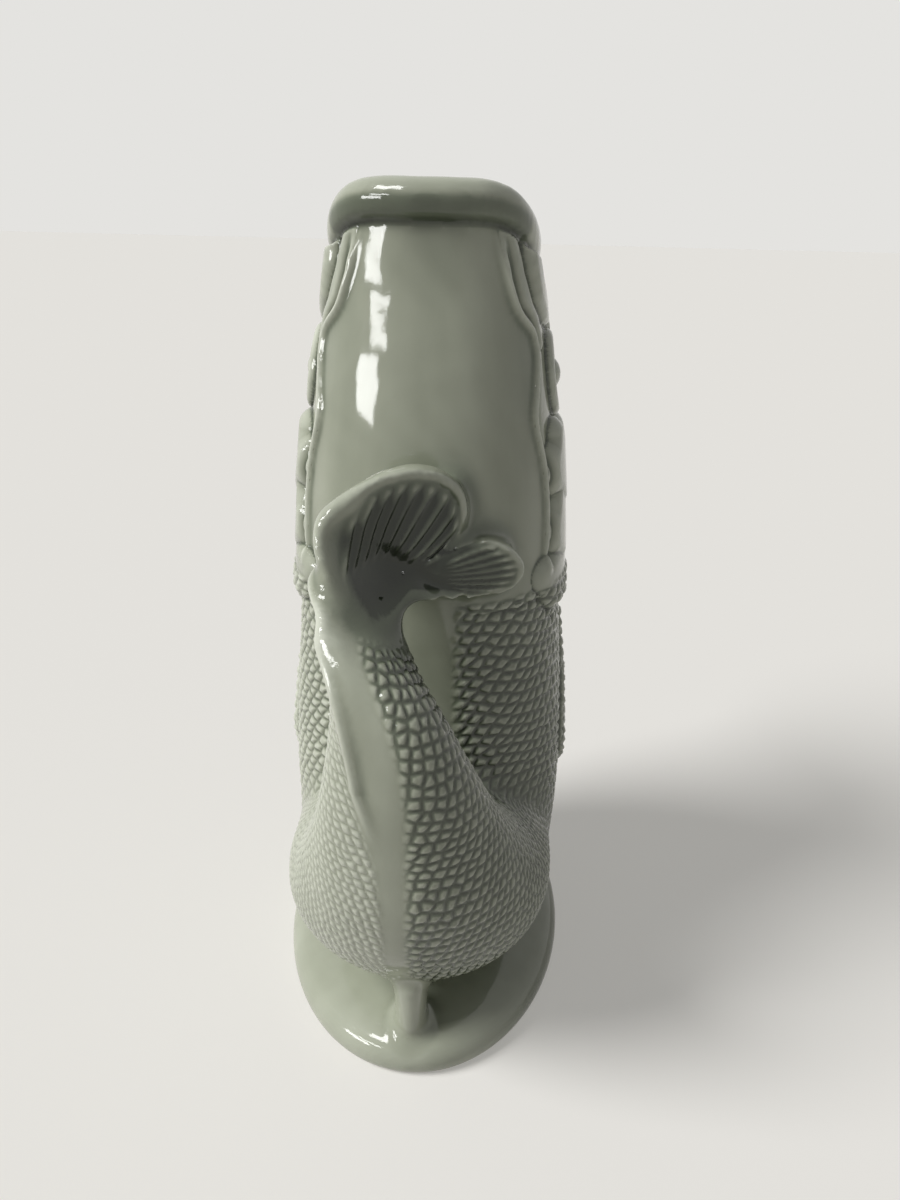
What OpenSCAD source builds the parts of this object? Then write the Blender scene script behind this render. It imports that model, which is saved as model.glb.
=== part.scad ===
// Fish-shaped gurgle jug of glazed earthenware. The fish stands on an oval foot with its
// mouth open as the pouring lip, and its tail curls up behind its back as the handle.
// +Z is up, +Y is the pouring side, and the origin is the middle of the foot's underside.

/* [Body] */
// Height from the table to the back of the rim, the highest point
jug_h = 245; // [215:1:280]
// Greatest width of the body, flank to flank
body_w = 86; // [76:1:100]
// Greatest depth of the body, from its back to its belly
body_d = 100; // [90:1:115]
// Thickness of the clay wall
wall = 4.5; // [3.5:0.5:5.5]

/* [Mouth] */
// Height of the rolled lip round the rim
lip_h = 9; // [7:0.5:12]
// How far the rolled lip stands out from the head
lip_out = 3; // [2:0.5:4]
// How far the rim dips at the corners of the mouth
mouth_dip = 12; // [6:1:16]
// How far the pouring lip lies below the back of the rim
spout_drop = 8; // [2:1:12]
// Distance from the jug's axis to the tip of the pouring lip
spout_reach = 81; // [72:0.5:88]
// How far the bands of the upper jaw stand out
jaw_out = 2.4; // [1.5:0.1:3.5]

/* [Head] */
// Diameter of each eyeball
eye_d = 11; // [8:0.5:13]
// How far the eyelids stand out
lid_out = 2; // [1.5:0.1:3]
// How far the gill covers stand out
gill_out = 3; // [1.5:0.1:3.5]
// Thickness of the ridges that bound the smooth top of the head
ridge_d = 3.2; // [2:0.2:4]

/* [Tail] */
// Distance from the jug's axis to the rearmost point of the tail
tail_reach = 81; // [78:0.5:88]
// Width of the handle where it is gripped
grip_w = 20; // [16:1:24]
// Thickness of the handle where it is gripped, from keel to finger gap
grip_t = 23; // [18:1:26]
// Width of the tail fin that joins the handle to the head
fan_w = 52; // [44:1:58]
// Height of the tail fin
fan_h = 39; // [34:1:42]
// Thickness of the tail fin at its edge
fan_t = 6.5; // [5:0.5:8]
// Thickness of the rays on the tail fin
ray_d = 2.2; // [1.6:0.2:3]

/* [Fins] */
// Length of each side fin
fin_l = 56; // [45:1:64]
// How far each side fin stands out from the flank
fin_out = 1.8; // [1.4:0.1:3]

/* [Foot] */
// Width of the oval foot
foot_w = 94; // [86:1:104]
// Length of the oval foot, from front to back
foot_l = 136; // [128:1:150]
// Height of the foot at its middle
foot_h = 16; // [14:0.5:18]
// Depth of the hollow under the foot
recess = 3; // [2:0.5:4]
// Width of the bare ring that the jug stands on
ring_w = 9; // [6:1:14]
// Width of the small prop between the tail and the foot
prop_w = 9; // [6:0.5:12]

/* [Hidden] */

// Points round a section of the body, of the tail and of the foot
body_n = 52;
tail_n = 36;
foot_n = 48;
// Steps between one row of a table and the next
body_steps = 2;
tail_steps = 3;
fan_steps = 3;
// Overrun of a cutting block past what it cuts
over = 5;

// The upright body, from the foot to the rim. Each row holds a height as a share of the
// height under the lip; half the width as a share of body_w; then the back, the belly and
// the widest line as shares of body_d; how square the back is; how far the row follows the
// dip of the rim; and how far its front follows the spout.
body_shares = [
    [0.043, 0.350, -0.260, 0.360, 0.040, 2.10, 0, 0],
    [0.085, 0.425, -0.330, 0.455, 0.040, 2.10, 0, 0],
    [0.145, 0.478, -0.365, 0.535, 0.035, 2.10, 0, 0],
    [0.213, 0.499, -0.375, 0.590, 0.030, 2.10, 0, 0],
    [0.298, 0.500, -0.368, 0.625, 0.040, 2.10, 0, 0],
    [0.390, 0.488, -0.355, 0.632, 0.050, 2.15, 0, 0],
    [0.490, 0.467, -0.342, 0.610, 0.060, 2.20, 0, 0],
    [0.587, 0.445, -0.340, 0.570, 0.060, 2.30, 0, 0],
    [0.680, 0.424, -0.333, 0.530, 0.060, 2.35, 0, 0],
    [0.774, 0.397, -0.312, 0.505, 0.070, 2.40, 0, 0.02],
    [0.860, 0.368, -0.282, 0.500, 0.090, 2.50, 0.2, 0.14],
    [0.936, 0.338, -0.250, 0.500, 0.125, 2.60, 0.6, 0.46],
    [1.000, 0.312, -0.240, 0.500, 0.170, 2.70, 1, 1]];
// How square the belly is
belly_square = 2.1;
// Heights of the seam of the head and of the top of the belly, as shares of jug_h
collar_share = 0.563;
belly_share = 0.3;

// The tail, from inside the body up to the fin. Each row holds the distance behind the
// axis as a share of tail_reach; the height as a share of jug_h; how far the width and the
// thickness have still to shrink to those of the grip; the sideways lean as a share of
// grip_w; the twist in degrees that turns the keel to the left; and how far the face that
// turns to the rear is dished.
tail_shares = [
    [0.050, 0.188, 0.940, 0.900, 0.00, 0, 0],
    [0.294, 0.198, 0.940, 0.885, 0.00, 0, 0],
    [0.521, 0.233, 0.850, 0.780, 0.00, 0, 0],
    [0.691, 0.306, 0.620, 0.500, 0.00, 0, 0],
    [0.790, 0.388, 0.400, 0.230, -0.05, 0, 0],
    [0.833, 0.461, 0.240, 0.080, -0.14, 8, 0],
    [0.815, 0.530, 0.080, 0.020, -0.32, 28, 0],
    [0.734, 0.590, -0.050, 0.000, -0.54, 56, 0.45],
    [0.628, 0.641, -0.100, 0.000, -0.64, 74, 0.95],
    [0.537, 0.682, -0.140, 0.000, -0.62, 84, 1]];
// Thickness of the tail's root inside the body, as a share of body_d
root_share = 0.72;
// The last row of the tail that is hollow, and the beads that make the hollow
hollow_end = 6.6;
hollow_beads = 9;
// How deep a dished face goes, as a share of the half width
dish_depth_share = 1.25;
// Part of a row between the two places that give the tail's heading
heading_step = 0.05;

// The edge of the tail fin, clockwise from the keel as seen from behind: across as a
// share of fan_w, stand-off from the back of the head as a share of the tail's reach past
// the back, and height above the fin's foot as a share of fan_h.
fan_shares = [
    [-0.400, 0.58, 0.24], [-0.446, 0.54, 0.50], [-0.440, 0.48, 0.70], [-0.310, 0.40, 0.84],
    [-0.125, 0.29, 0.94], [0.058, 0.20, 0.93], [0.190, 0.13, 0.80], [0.230, 0.10, 0.60],
    [0.195, 0.10, 0.41], [0.320, 0.09, 0.44], [0.450, 0.06, 0.36], [0.520, 0.03, 0.21],
    [0.475, 0.04, 0.08], [0.355, 0.09, 0.03], [0.165, 0.22, 0.07], [0.000, 0.39, 0.10],
    [-0.140, 0.51, 0.02], [-0.300, 0.58, 0.06]];
// Middle of the fin, where its dish is deepest, and the point that its rays spread from
fan_middle_share = [-0.04, 0.24, 0.52];
fan_root_share = [-0.08, 0.36, 0.16];
// Height of the fin's foot as a share of jug_h, and the dish as a share of fan_t
fan_foot_share = 0.588;
dish_share = 0.35;
// Rings of the fin's face and of its back: how far in from the edge, and depth in fan_t
fan_face_shares = [[0.97, 0], [0.72, 0], [0.48, 0], [0.24, 0], [0.05, 0], [-0.01, 0.2]];
fan_rear_shares = [[-0.02, 0.5], [0, 1], [0.3, 1.6], [0.97, 2.4]];
// Where the rays of the two lobes end, as places along the fin's edge
ray_ends = [1.9, 2.5, 3, 3.5, 4, 4.5, 5, 5.5, 6, 6.6, 9.3, 10, 10.6, 11.2, 11.8];
// Where a ray starts and ends between the root and the edge
ray_shares = [0.35, 0.9];
// How deep the start of a ray lies in the fin, as a share of ray_d
ray_sink_share = 0.6;

// Half section of the foot: height as a share of foot_h, and inset as a share of foot_w
foot_shares = [[0, 0.016], [0.12, 0.003], [0.28, 0], [0.46, 0.010], [0.62, 0.036],
               [0.76, 0.085], [0.87, 0.150], [0.95, 0.230], [1, 0.320]];

// Thickness of a slice of the foot or prop, as a share of foot_h
slice_share = 0.01;
// Prop: distance behind the axis as a share of foot_l, top as a share of foot_h, depth as a
// share of its width, and how far it flares at the top
prop_place_share = 0.43;
prop_top_share = 2.6;
prop_depth_share = 1.25;
prop_flare_share = 0.45;
prop_steps = 9;

// Ridge on the head: angle from the middle of the back, and height as a share of jug_h
ridge_shares = [[42, 0.885], [54, 0.862], [57, 0.835], [55, 0.800], [53, 0.765],
                [59, 0.715], [61, 0.670], [60, 0.625], [58, 0.585]];

// How far a ridge is sunk into the head, as a share of ridge_d
ridge_sink_share = 0.2;

// Bands and lobes seen from the side: forward place as a share of body_d, height as a
// share of jug_h, and radius as a share of eye_d
jaw_shares = [[-0.125, 0.930, 0.40], [-0.105, 0.912, 0.46], [-0.060, 0.893, 0.47],
              [0.010, 0.874, 0.43], [0.095, 0.855, 0.37], [0.148, 0.836, 0.33],
              [0.172, 0.816, 0.27], [0.182, 0.796, 0.18], [0.186, 0.774, 0.08]];
gill_shares = [
    [[-0.045, 0.735, 0.55], [-0.055, 0.705, 0.85], [0.020, 0.690, 1.05], [0.120, 0.705, 1.05]],
    [[-0.055, 0.670, 0.50], [-0.060, 0.632, 0.85], [-0.010, 0.622, 0.95], [0.100, 0.645, 0.95]],
    [[-0.160, 0.585, 0.55], [-0.100, 0.572, 0.85], [0.000, 0.565, 0.80], [0.110, 0.585, 0.80]]];
// Each lobe stands out a little less than the one above it
gill_step_share = 0.14;
// Eyelids: an almond ring of this many beads, its half length and half height in eye_d
lid_n = 12;
lid_shares = [0.62, 0.80, 0.16];
// Place of the eye in body_d and jug_h, and how far it is sunk, in eye_d
eye_place_share = [0.045, 0.8];
eye_sink_share = 0.2;
// Side fin: place of its root in body_d and jug_h, number of rays, spread in degrees and
// the direction of its middle ray, measured from straight down towards the back
fin_root_share = [0.160, 0.475];
fin_rays = 9;
fin_spread_angle = 38;
fin_turn_angle = 2;
// Roundness of a ray's ends, and how much shorter the rearmost ray is, as shares of fin_l
fin_round_share = 0.058;
fin_slant_share = 0.28;

// Section of the rolled lip: outwards in lip_out or inwards in wall, and up in lip_h
lip_shares = [[0, 0], [0.75, 0.10], [1, 0.38], [0.95, 0.66], [0.5, 0.92],
              [-0.1, 1], [-0.6, 0.94], [-1, 0.75], [-1, 0]];
// Section that is cut off the top of the head for the lip to stand in
lip_seat_shares = [[0, 0], [1, 0], [1, 1.5], [-1.2, 1.5], [-1.2, 0], [-1, 0]];

// Height of the seat of the lip, of the seam where the smooth head meets the scaled body,
// and of the line where the belly, which bears the tail, meets the upper body
seat_h = jug_h - lip_h;
collar_h = collar_share * jug_h;
belly_h = belly_share * jug_h;

// Smooth run through the rows of a table, where t counts the rows from zero
function spline(p, q, r, s, f) =
    0.5 * (2 * q + (r - p) * f + (2 * p - 5 * q + 4 * r - s) * f * f
           + (3 * q - p - 3 * r + s) * f * f * f);
function along(rows, t) =
    let (last = len(rows) - 1, i = min(floor(t), last - 1), f = t - i)
    spline(rows[max(i - 1, 0)], rows[i], rows[i + 1], rows[min(i + 2, last)], f);
function around(rows, t) =
    let (n = len(rows), i = floor(t), f = t - i)
    spline(rows[(i - 1 + n) % n], rows[i % n], rows[(i + 1) % n], rows[(i + 2) % n], f);
function blend(a, b, f) = a + (b - a) * f;
function signed_pow(v, p) = sign(v) * pow(abs(v), p);

// How far the rim lies below its highest point at an angle round the jug
function rim_drop(a) =
    mouth_dip * pow(cos(a), 4) + (sin(a) > 0 ? spout_drop * pow(sin(a), 2) : 0);

// Outline of the body at a row of its table, pushed out by a distance
function body_point(row, a, out) =
    let (mid = row[4] * body_d, e = 2 / (sin(a) < 0 ? row[5] : belly_square),
         half = row[1] * body_w + out,
         belly = blend(row[3] * body_d, spout_reach - lip_out, row[7]),
         reach = (sin(a) < 0 ? mid - row[2] * body_d : belly - mid) + out)
    [half * signed_pow(cos(a), e), mid + reach * signed_pow(sin(a), e),
     row[0] * seat_h - row[6] * rim_drop(a)];
function body_ring(t, out) =
    [for (k = [0 : body_n - 1]) body_point(along(body_shares, t), 360 * k / body_n, out)];

// Row of the body's table at a height, found by halving
function body_row(z, lo = 0, hi = len(body_shares) - 1, n = 16) =
    n == 0 ? (lo + hi) / 2
    : along(body_shares, (lo + hi) / 2)[0] * seat_h < z ? body_row(z, (lo + hi) / 2, hi, n - 1)
    : body_row(z, lo, (lo + hi) / 2, n - 1);

// Middle line of the tail, its heading, and its section there
function tail_place(t) =
    let (r = along(tail_shares, t)) [r[4] * grip_w, -r[0] * tail_reach, r[1] * jug_h];
function tail_run(t) =
    let (a = tail_place(max(t - heading_step, 0)),
         b = tail_place(min(t + heading_step, len(tail_shares) - 1)),
         d = [0, b[1] - a[1], b[2] - a[2]]) d / norm(d);
function tail_ring(t, out, n = tail_n) =
    let (r = along(tail_shares, t), place = tail_place(t), run = tail_run(t), turn = r[5],
         half_w = blend(grip_w, body_w, r[2]) / 2 + out,
         half_t = blend(grip_t, root_share * body_d, r[3]) / 2 + out,
         keel = [0, -run[2], run[1]],
         over_keel = cos(turn) * keel - [sin(turn), 0, 0],
         aside = [cos(turn), 0, 0] + sin(turn) * keel)
    [for (k = [0 : n - 1])
        let (a = 360 * k / n, dish = cos(a) > 0 ? 1 - dish_depth_share * r[6] : 1)
        place + half_w * dish * cos(a) * aside - half_t * sin(a) * over_keel];

// Stand-off of the tail past the back of the body, and a place on the fin
back_y = body_shares[8][2] * body_d;
function fan_place(p) =
    [p[0] * fan_w, back_y - p[1] * (tail_reach + back_y), fan_foot_share * jug_h + p[2] * fan_h];

// A closed solid through rings of points, with flat ends
module loft(rings) {
    n = len(rings[0]);
    last = len(rings) - 1;
    sides = [for (i = [0 : last - 1], k = [0 : n - 1])
        let (a = i * n + k, b = i * n + (k + 1) % n)
        each [[a, a + n, b + n], [a, b + n, b]]];
    ends = [[for (k = [0 : n - 1]) k], [for (k = [n - 1 : -1 : 0]) last * n + k]];
    polyhedron([for (ring = rings, p = ring) p], concat(sides, ends), convexity = 8);
}

// The whole body as a solid, pushed out by a distance
module body_solid(out = 0) {
    last = len(body_shares) - 1;
    loft([for (i = [0 : last * body_steps]) body_ring(i / body_steps, out)]);
}

// The room inside the body, open through the mouth
module cavity() {
    last = len(body_shares) - 1;
    floor_row = body_row(body_shares[0][0] * seat_h + wall);
    rings = [for (i = [1 : last * body_steps]) body_ring(floor_row + (last - floor_row)
             * (i - 1) / (last * body_steps - 1), -wall)];
    mouth = [for (p = body_ring(last, -wall)) p + [0, 0, lip_h + over]];
    loft(concat(rings, [mouth]));
}

// The whole tail as a solid, and the same cut off where the body ends below
module tail_loft() {
    last = len(tail_shares) - 1;
    loft([for (i = [0 : last * tail_steps]) tail_ring(i / tail_steps, 0)]);
}
module tail_solid() {
    difference() {
        tail_loft();
        below(body_shares[0][0] * seat_h);
    }
}

// The room inside the tail, as a run of flattened beads
module tail_room() {
    for (i = [0 : hollow_beads - 1])
        hull() for (k = [i, i + 1]) tail_bead(k * hollow_end / hollow_beads);
}
module tail_bead(t) {
    ring = tail_ring(t, -wall, tail_n / 2);
    run = tail_run(t);
    n = len(ring);
    middle = tail_place(t);
    polyhedron(concat(ring, [middle - run * wall, middle + run * wall]),
               [for (k = [0 : n - 1]) each [[k, (k + 1) % n, n], [(k + 1) % n, k, n + 1]]]);
}

// A block of everything above or below a height
module above(z) {
    translate([-body_w, -tail_reach - over, z]) cube([2 * body_w, 2 * tail_reach + body_d, jug_h]);
}
module below(z) {
    translate([-body_w, -tail_reach - over, z - jug_h])
        cube([2 * body_w, 2 * tail_reach + body_d, jug_h]);
}

// A round-ended band or lobe through circles, drawn as seen from the side
module band(rows) {
    for (i = [0 : len(rows) - 2])
        hull() for (r = [rows[i], rows[i + 1]])
            translate([r[0] * body_d, r[1] * jug_h]) circle(r[2] * eye_d, $fn = 20);
}

// A plate of even thickness laid on the flank, cut to the outline drawn by its children
module flank_plate(side, out) {
    difference() {
        intersection() {
            body_solid(out);
            mirror([side < 0 ? 1 : 0, 0, 0]) rotate([90, 0, 90]) linear_extrude(body_w) children();
        }
        body_solid();
    }
}

module foot_slice(row) {
    translate([0, 0, row[0] * foot_h])
        linear_extrude(slice_share * foot_h)
            polygon([for (k = [0 : foot_n - 1]) let (a = 360 * k / foot_n)
                [(foot_w / 2 - row[1] * foot_w) * cos(a), (foot_l / 2 - row[1] * foot_w) * sin(a)]]);
}

// The dome of the foot, before the body is let into it
module foot_dome() {
    for (i = [0 : len(foot_shares) - 2])
        hull() {
            foot_slice(foot_shares[i]);
            foot_slice(foot_shares[i + 1]);
        }
}

module foot() {
    inner = [foot_w / 2 - ring_w, foot_l / 2 - ring_w];
    color("#a9ae98") difference() {
        foot_dome();
        translate([0, 0, -over]) linear_extrude(over + recess)
            polygon([for (k = [0 : foot_n - 1]) let (a = 360 * k / foot_n)
                [inner[0] * cos(a), inner[1] * sin(a)]]);
        body_solid();
        tail_solid();
    }
}

// A waisted post that holds the keel of the tail off the foot
module tail_prop() {
    color("#9aa08a") difference() {
        for (i = [0 : prop_steps - 1])
            hull() {
                prop_slice(i / prop_steps);
                prop_slice((i + 1) / prop_steps);
            }
        foot_dome();
        tail_solid();
        body_solid();
    }
}

module prop_slice(f) {
    width = prop_w * (1 + prop_flare_share * pow(f, 2));
    translate([0, -prop_place_share * foot_l, foot_h * blend(0.5, prop_top_share, f)])
        linear_extrude(slice_share * foot_h)
            scale([1, prop_depth_share]) circle(d = width, $fn = 20);
}

module belly() {
    color("#9ba18a") difference() {
        intersection() {
            body_solid();
            below(belly_h);
        }
        cavity();
        tail_room();
    }
}

module body() {
    color("#9ea48d") difference() {
        intersection() {
            body_solid();
            above(belly_h);
            below(collar_h);
        }
        cavity();
        tail_room();
    }
}

// The head keeps its two ridges, which run down the corners of its flat top
module head() {
    last = len(body_shares) - 1;
    color("#adb39d") difference() {
        union() {
            intersection() {
                loft([for (i = [0 : last * body_steps + 1]) i <= last * body_steps
                    ? body_ring(i / body_steps, 0)
                    : [for (p = body_ring(last, 0)) p + [0, 0, lip_h]]]);
                above(collar_h);
            }
            head_ridge(-1);
            head_ridge(1);
        }
        cavity();
        rim_sweep(lip_seat_shares);
    }
}
module head_ridge(side) {
    for (i = [0 : len(ridge_shares) - 2])
        hull() {
            ridge_bead(side, ridge_shares[i]);
            ridge_bead(side, ridge_shares[i + 1]);
        }
}
module ridge_bead(side, row) {
    angle = -90 + side * row[0];
    translate(body_point(along(body_shares, body_row(row[1] * jug_h)), angle,
                         -ridge_sink_share * ridge_d))
        sphere(d = ridge_d, $fn = 10);
}

// A section swept round the rim of the head
module rim_sweep(section) {
    last = len(body_shares) - 1;
    m = len(section);
    points = [for (k = [0 : body_n - 1], p = section)
        body_point(along(body_shares, last), 360 * k / body_n,
                   p[0] > 0 ? p[0] * lip_out : p[0] * wall) + [0, 0, p[1] * lip_h]];
    polyhedron(points,
        [for (k = [0 : body_n - 1], j = [0 : m - 1])
            let (a = k * m + j, b = k * m + (j + 1) % m,
                 c = ((k + 1) % body_n) * m + j, d = ((k + 1) % body_n) * m + (j + 1) % m)
            each [[a, b, d], [a, d, c]]]);
}

// The rolled lip stands on the head
module mouth_lip() {
    color("#b6bba6") rim_sweep(lip_shares);
}

module tail_handle() {
    color("#9ea48d") difference() {
        tail_solid();
        body_solid();
        tail_room();
    }
}

// The fin: a dished plate with rounded lobes, rays on its face and the head cut from it
module tail_fan() {
    last = len(fan_shares) * fan_steps;
    middle = fan_place(fan_middle_share);
    dish = dish_share * fan_t;
    edge = [for (i = [0 : last - 1]) fan_place(around(fan_shares, i / fan_steps))];
    function inward(f, y) =
        [for (p = edge) blend(p, middle, f) + [0, y + dish * sin(90 * f), 0]];
    face = [for (r = fan_face_shares) inward(r[0], r[1] * fan_t)];
    rear = [for (r = fan_rear_shares) inward(r[0], r[1] * fan_t)];
    color("#a3a992") difference() {
        union() {
            loft(concat(face, rear));
            for (t = ray_ends) fan_ray(fan_place(around(fan_shares, t)), middle, dish);
        }
        body_solid();
        tail_loft();
    }
}
module fan_ray(tip, middle, dish) {
    root = fan_place(fan_root_share);
    function on_face(f) =
        let (p = blend(root, tip, f), g = 1 - f) p + [0, dish * sin(90 * g), 0];
    hull() {
        translate(on_face(ray_shares[0]) + [0, ray_sink_share * ray_d, 0]) sphere(d = ray_d / 2, $fn = 8);
        translate(on_face(ray_shares[1])) sphere(d = ray_d, $fn = 8);
    }
}

// An eyeball in an almond ring of lids
module eye(side) {
    place = [eye_place_share[0] * body_d, eye_place_share[1] * jug_h];
    row = along(body_shares, body_row(place[1]));
    color("#b2b7a2") difference() {
        union() {
            flank_plate(side, lid_out)
                for (k = [0 : lid_n - 1])
                    hull() for (a = [360 * k / lid_n, 360 * (k + 1) / lid_n])
                        translate(place + eye_d * [lid_shares[0] * cos(a), lid_shares[1] * sin(a)])
                            circle(lid_shares[2] * eye_d, $fn = 14);
            translate([side * (row[1] * body_w - eye_sink_share * eye_d), place[0], place[1]])
                sphere(d = eye_d, $fn = 24);
        }
        body_solid();
    }
}
module eye_left() { eye(-1); }
module eye_right() { eye(1); }

// Three rounded plates, each tucked under the one above it
module gill_cover(side) {
    color("#a6ac96") difference() {
        for (i = [0 : len(gill_shares) - 1])
            flank_plate(side, gill_out * (1 - i * gill_step_share)) band(gill_shares[i]);
        head_ridge(side);
    }
}
module gill_cover_left() { gill_cover(-1); }
module gill_cover_right() { gill_cover(1); }

module upper_jaw(side) {
    color("#b0b5a0") difference() {
        flank_plate(side, jaw_out) band(jaw_shares);
        mouth_lip();
        eye(side);
    }
}
module upper_jaw_left() { upper_jaw(-1); }
module upper_jaw_right() { upper_jaw(1); }

// A fan of rays from one root, with a scalloped end
module pectoral_fin(side) {
    root = [fin_root_share[0] * body_d, fin_root_share[1] * jug_h];
    color("#a3a992") flank_plate(side, fin_out)
        for (k = [0 : fin_rays - 1]) {
            turn = fin_turn_angle + fin_spread_angle * (k / (fin_rays - 1) - 0.5);
            reach = fin_l * (1 - fin_slant_share * pow(k / (fin_rays - 1), 2));
            hull() {
                translate(root) circle(fin_round_share * fin_l, $fn = 16);
                translate(root - reach * [sin(turn), cos(turn)])
                    circle(fin_round_share * fin_l, $fn = 16);
            }
        }
}
module pectoral_fin_left() { pectoral_fin(-1); }
module pectoral_fin_right() { pectoral_fin(1); }

foot();
tail_prop();
belly();
body();
head();
mouth_lip();
tail_handle();
tail_fan();
eye_left();
eye_right();
gill_cover_left();
gill_cover_right();
upper_jaw_left();
upper_jaw_right();
pectoral_fin_left();
pectoral_fin_right();
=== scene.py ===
import math

import bmesh
import bpy
import numpy as np
from bpy.props import FloatProperty, FloatVectorProperty, PointerProperty
from mathutils import Matrix, Vector
from mathutils.bvhtree import BVHTree
from mathutils.kdtree import KDTree


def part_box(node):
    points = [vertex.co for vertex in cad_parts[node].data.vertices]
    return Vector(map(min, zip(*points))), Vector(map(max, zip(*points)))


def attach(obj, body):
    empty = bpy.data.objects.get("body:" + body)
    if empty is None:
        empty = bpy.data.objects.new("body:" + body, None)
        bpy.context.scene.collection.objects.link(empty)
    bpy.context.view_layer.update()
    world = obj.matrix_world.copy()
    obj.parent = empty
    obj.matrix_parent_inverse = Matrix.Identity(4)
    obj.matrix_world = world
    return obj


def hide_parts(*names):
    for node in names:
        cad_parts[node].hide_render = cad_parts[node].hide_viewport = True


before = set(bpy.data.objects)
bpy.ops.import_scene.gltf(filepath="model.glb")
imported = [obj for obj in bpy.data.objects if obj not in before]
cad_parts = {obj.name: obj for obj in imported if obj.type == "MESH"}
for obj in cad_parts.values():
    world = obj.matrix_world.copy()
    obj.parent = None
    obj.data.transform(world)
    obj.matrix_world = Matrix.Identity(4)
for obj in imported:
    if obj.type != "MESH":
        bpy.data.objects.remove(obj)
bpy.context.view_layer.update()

bl_info = {
    "name": "Gurgle jug",
    "version": (1, 0, 0),
    "blender": (4, 5, 0),
    "location": "View3D > Sidebar > Jug",
    "description": "Models the glazed fish-shaped gurgle jug piece by piece",
    "category": "Object",
}

MM = 0.001


def wide_of(node, axis):
    """Width of a CAD node's box, to the nearest millimetre, in metres."""
    return round(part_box(node)[1][axis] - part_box(node)[0][axis], 3)


def end_of(node, corner, axis):
    """Distance from the jug's axis to one side of a CAD node's box, in metres."""
    return round(abs(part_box(node)[corner][axis]), 3)


def length(name, description, default):
    """A length that the panel shows."""
    return FloatProperty(name=name, description=description, default=default, unit="LENGTH")


# Sizes and colours that a user would change

class JugSizes(bpy.types.PropertyGroup):
    """Sizes of the jug"""
    height: length("Height", "From the table to the back of the rim", end_of("mouth_lip", 1, 2))
    body_width: length("Body width", "From flank to flank", wide_of("belly", 0))
    body_depth: length("Body depth", "From the back to the belly", 0.100)
    wall: length("Wall", "Thickness of the clay wall", 0.0045)
    lip_height: length("Lip height", "Height of the rolled lip", 0.009)
    lip_out: length("Lip stand-out", "How far the lip stands out past the head", 0.003)
    mouth_dip: length("Mouth dip", "How far the rim dips at its corners", 0.012)
    spout_drop: length("Spout drop", "How far the rim drops at the spout", 0.008)
    spout_reach: length("Spout reach", "From the axis to the tip of the spout",
                        end_of("mouth_lip", 1, 1))
    tail_reach: length("Tail reach", "From the axis to the back of the tail",
                       end_of("tail_handle", 0, 1))
    grip_width: length("Grip width", "Width of the tail where a hand holds it", 0.020)
    grip_depth: length("Grip depth", "Thickness of the tail where a hand holds it", 0.023)
    fan_width: length("Tail fin width", "Across both lobes of the tail fin",
                      wide_of("tail_fan", 0))
    fan_height: length("Tail fin height", "Up the main lobe of the tail fin", 0.039)
    fan_depth: length("Tail fin thickness", "Thickness of the fin at its edge", 0.0065)
    eye: length("Eye", "Diameter of the eyeball", 0.011)
    side_fin: length("Side fin", "Length of a side fin", 0.056)
    foot_width: length("Foot width", "Across the foot", wide_of("foot", 0))
    foot_length: length("Foot length", "Along the foot", wide_of("foot", 1))
    foot_height: length("Foot height", "Height of the foot's dome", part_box("foot")[1][2])
    ring: length("Ring", "Width of the bare ring that the jug stands on", 0.009)
    recess: length("Recess", "Depth of the hollow under the foot", 0.003)
    prop: length("Prop", "Width of the post between the tail and the foot", 0.009)
    grid: length("Skin grid", "Grid that fuses the members into one skin", 0.001)


def size(name):
    """A size from the panel, in millimetres."""
    return round(getattr(bpy.context.scene.jug_sizes, name) / MM, 3)


def linear(hex_colour):
    """sRGB hex to the linear colour that a shader takes."""
    values = []
    for i in (0, 2, 4):
        c = int(hex_colour[i:i + 2], 16) / 255
        values.append(c / 12.92 if c <= 0.04045 else ((c + 0.055) / 1.055) ** 2.4)
    return (*values, 1.0)


def colour(name, description, hex_colour):
    """A colour that the panel shows."""
    return FloatVectorProperty(name=name, description=description, subtype="COLOR", size=4,
                               min=0, max=1, default=linear(hex_colour))


class JugGlaze(bpy.types.PropertyGroup):
    """Colours of the jug"""
    edge: colour("Edge", "Glaze worn thin on a sharp edge", "CFD2C3")
    thin: colour("Thin", "Glaze on a rounded ridge", "B2B6A5")
    plain: colour("Plain", "Glaze on the smooth surface", "9EA290")
    # The thick and the pooled glaze also colour the painted shade
    thick: colour("Thick", "Glaze in a shallow hollow", "6F7664")
    pooled: colour("Pooled", "Glaze in the bottom of a groove", "2B3223")
    clay_dark: colour("Clay, dark", "Dark grains of the bare clay", "CDBFA4")
    clay_light: colour("Clay, light", "Light grains of the bare clay", "E2D8C4")
    floor: colour("Floor", "The pale floor", "C2C0BC")
    backdrop: colour("Backdrop", "The pale backdrop", "E4E3E0")


# Tables of shares, as in the part's source

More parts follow.
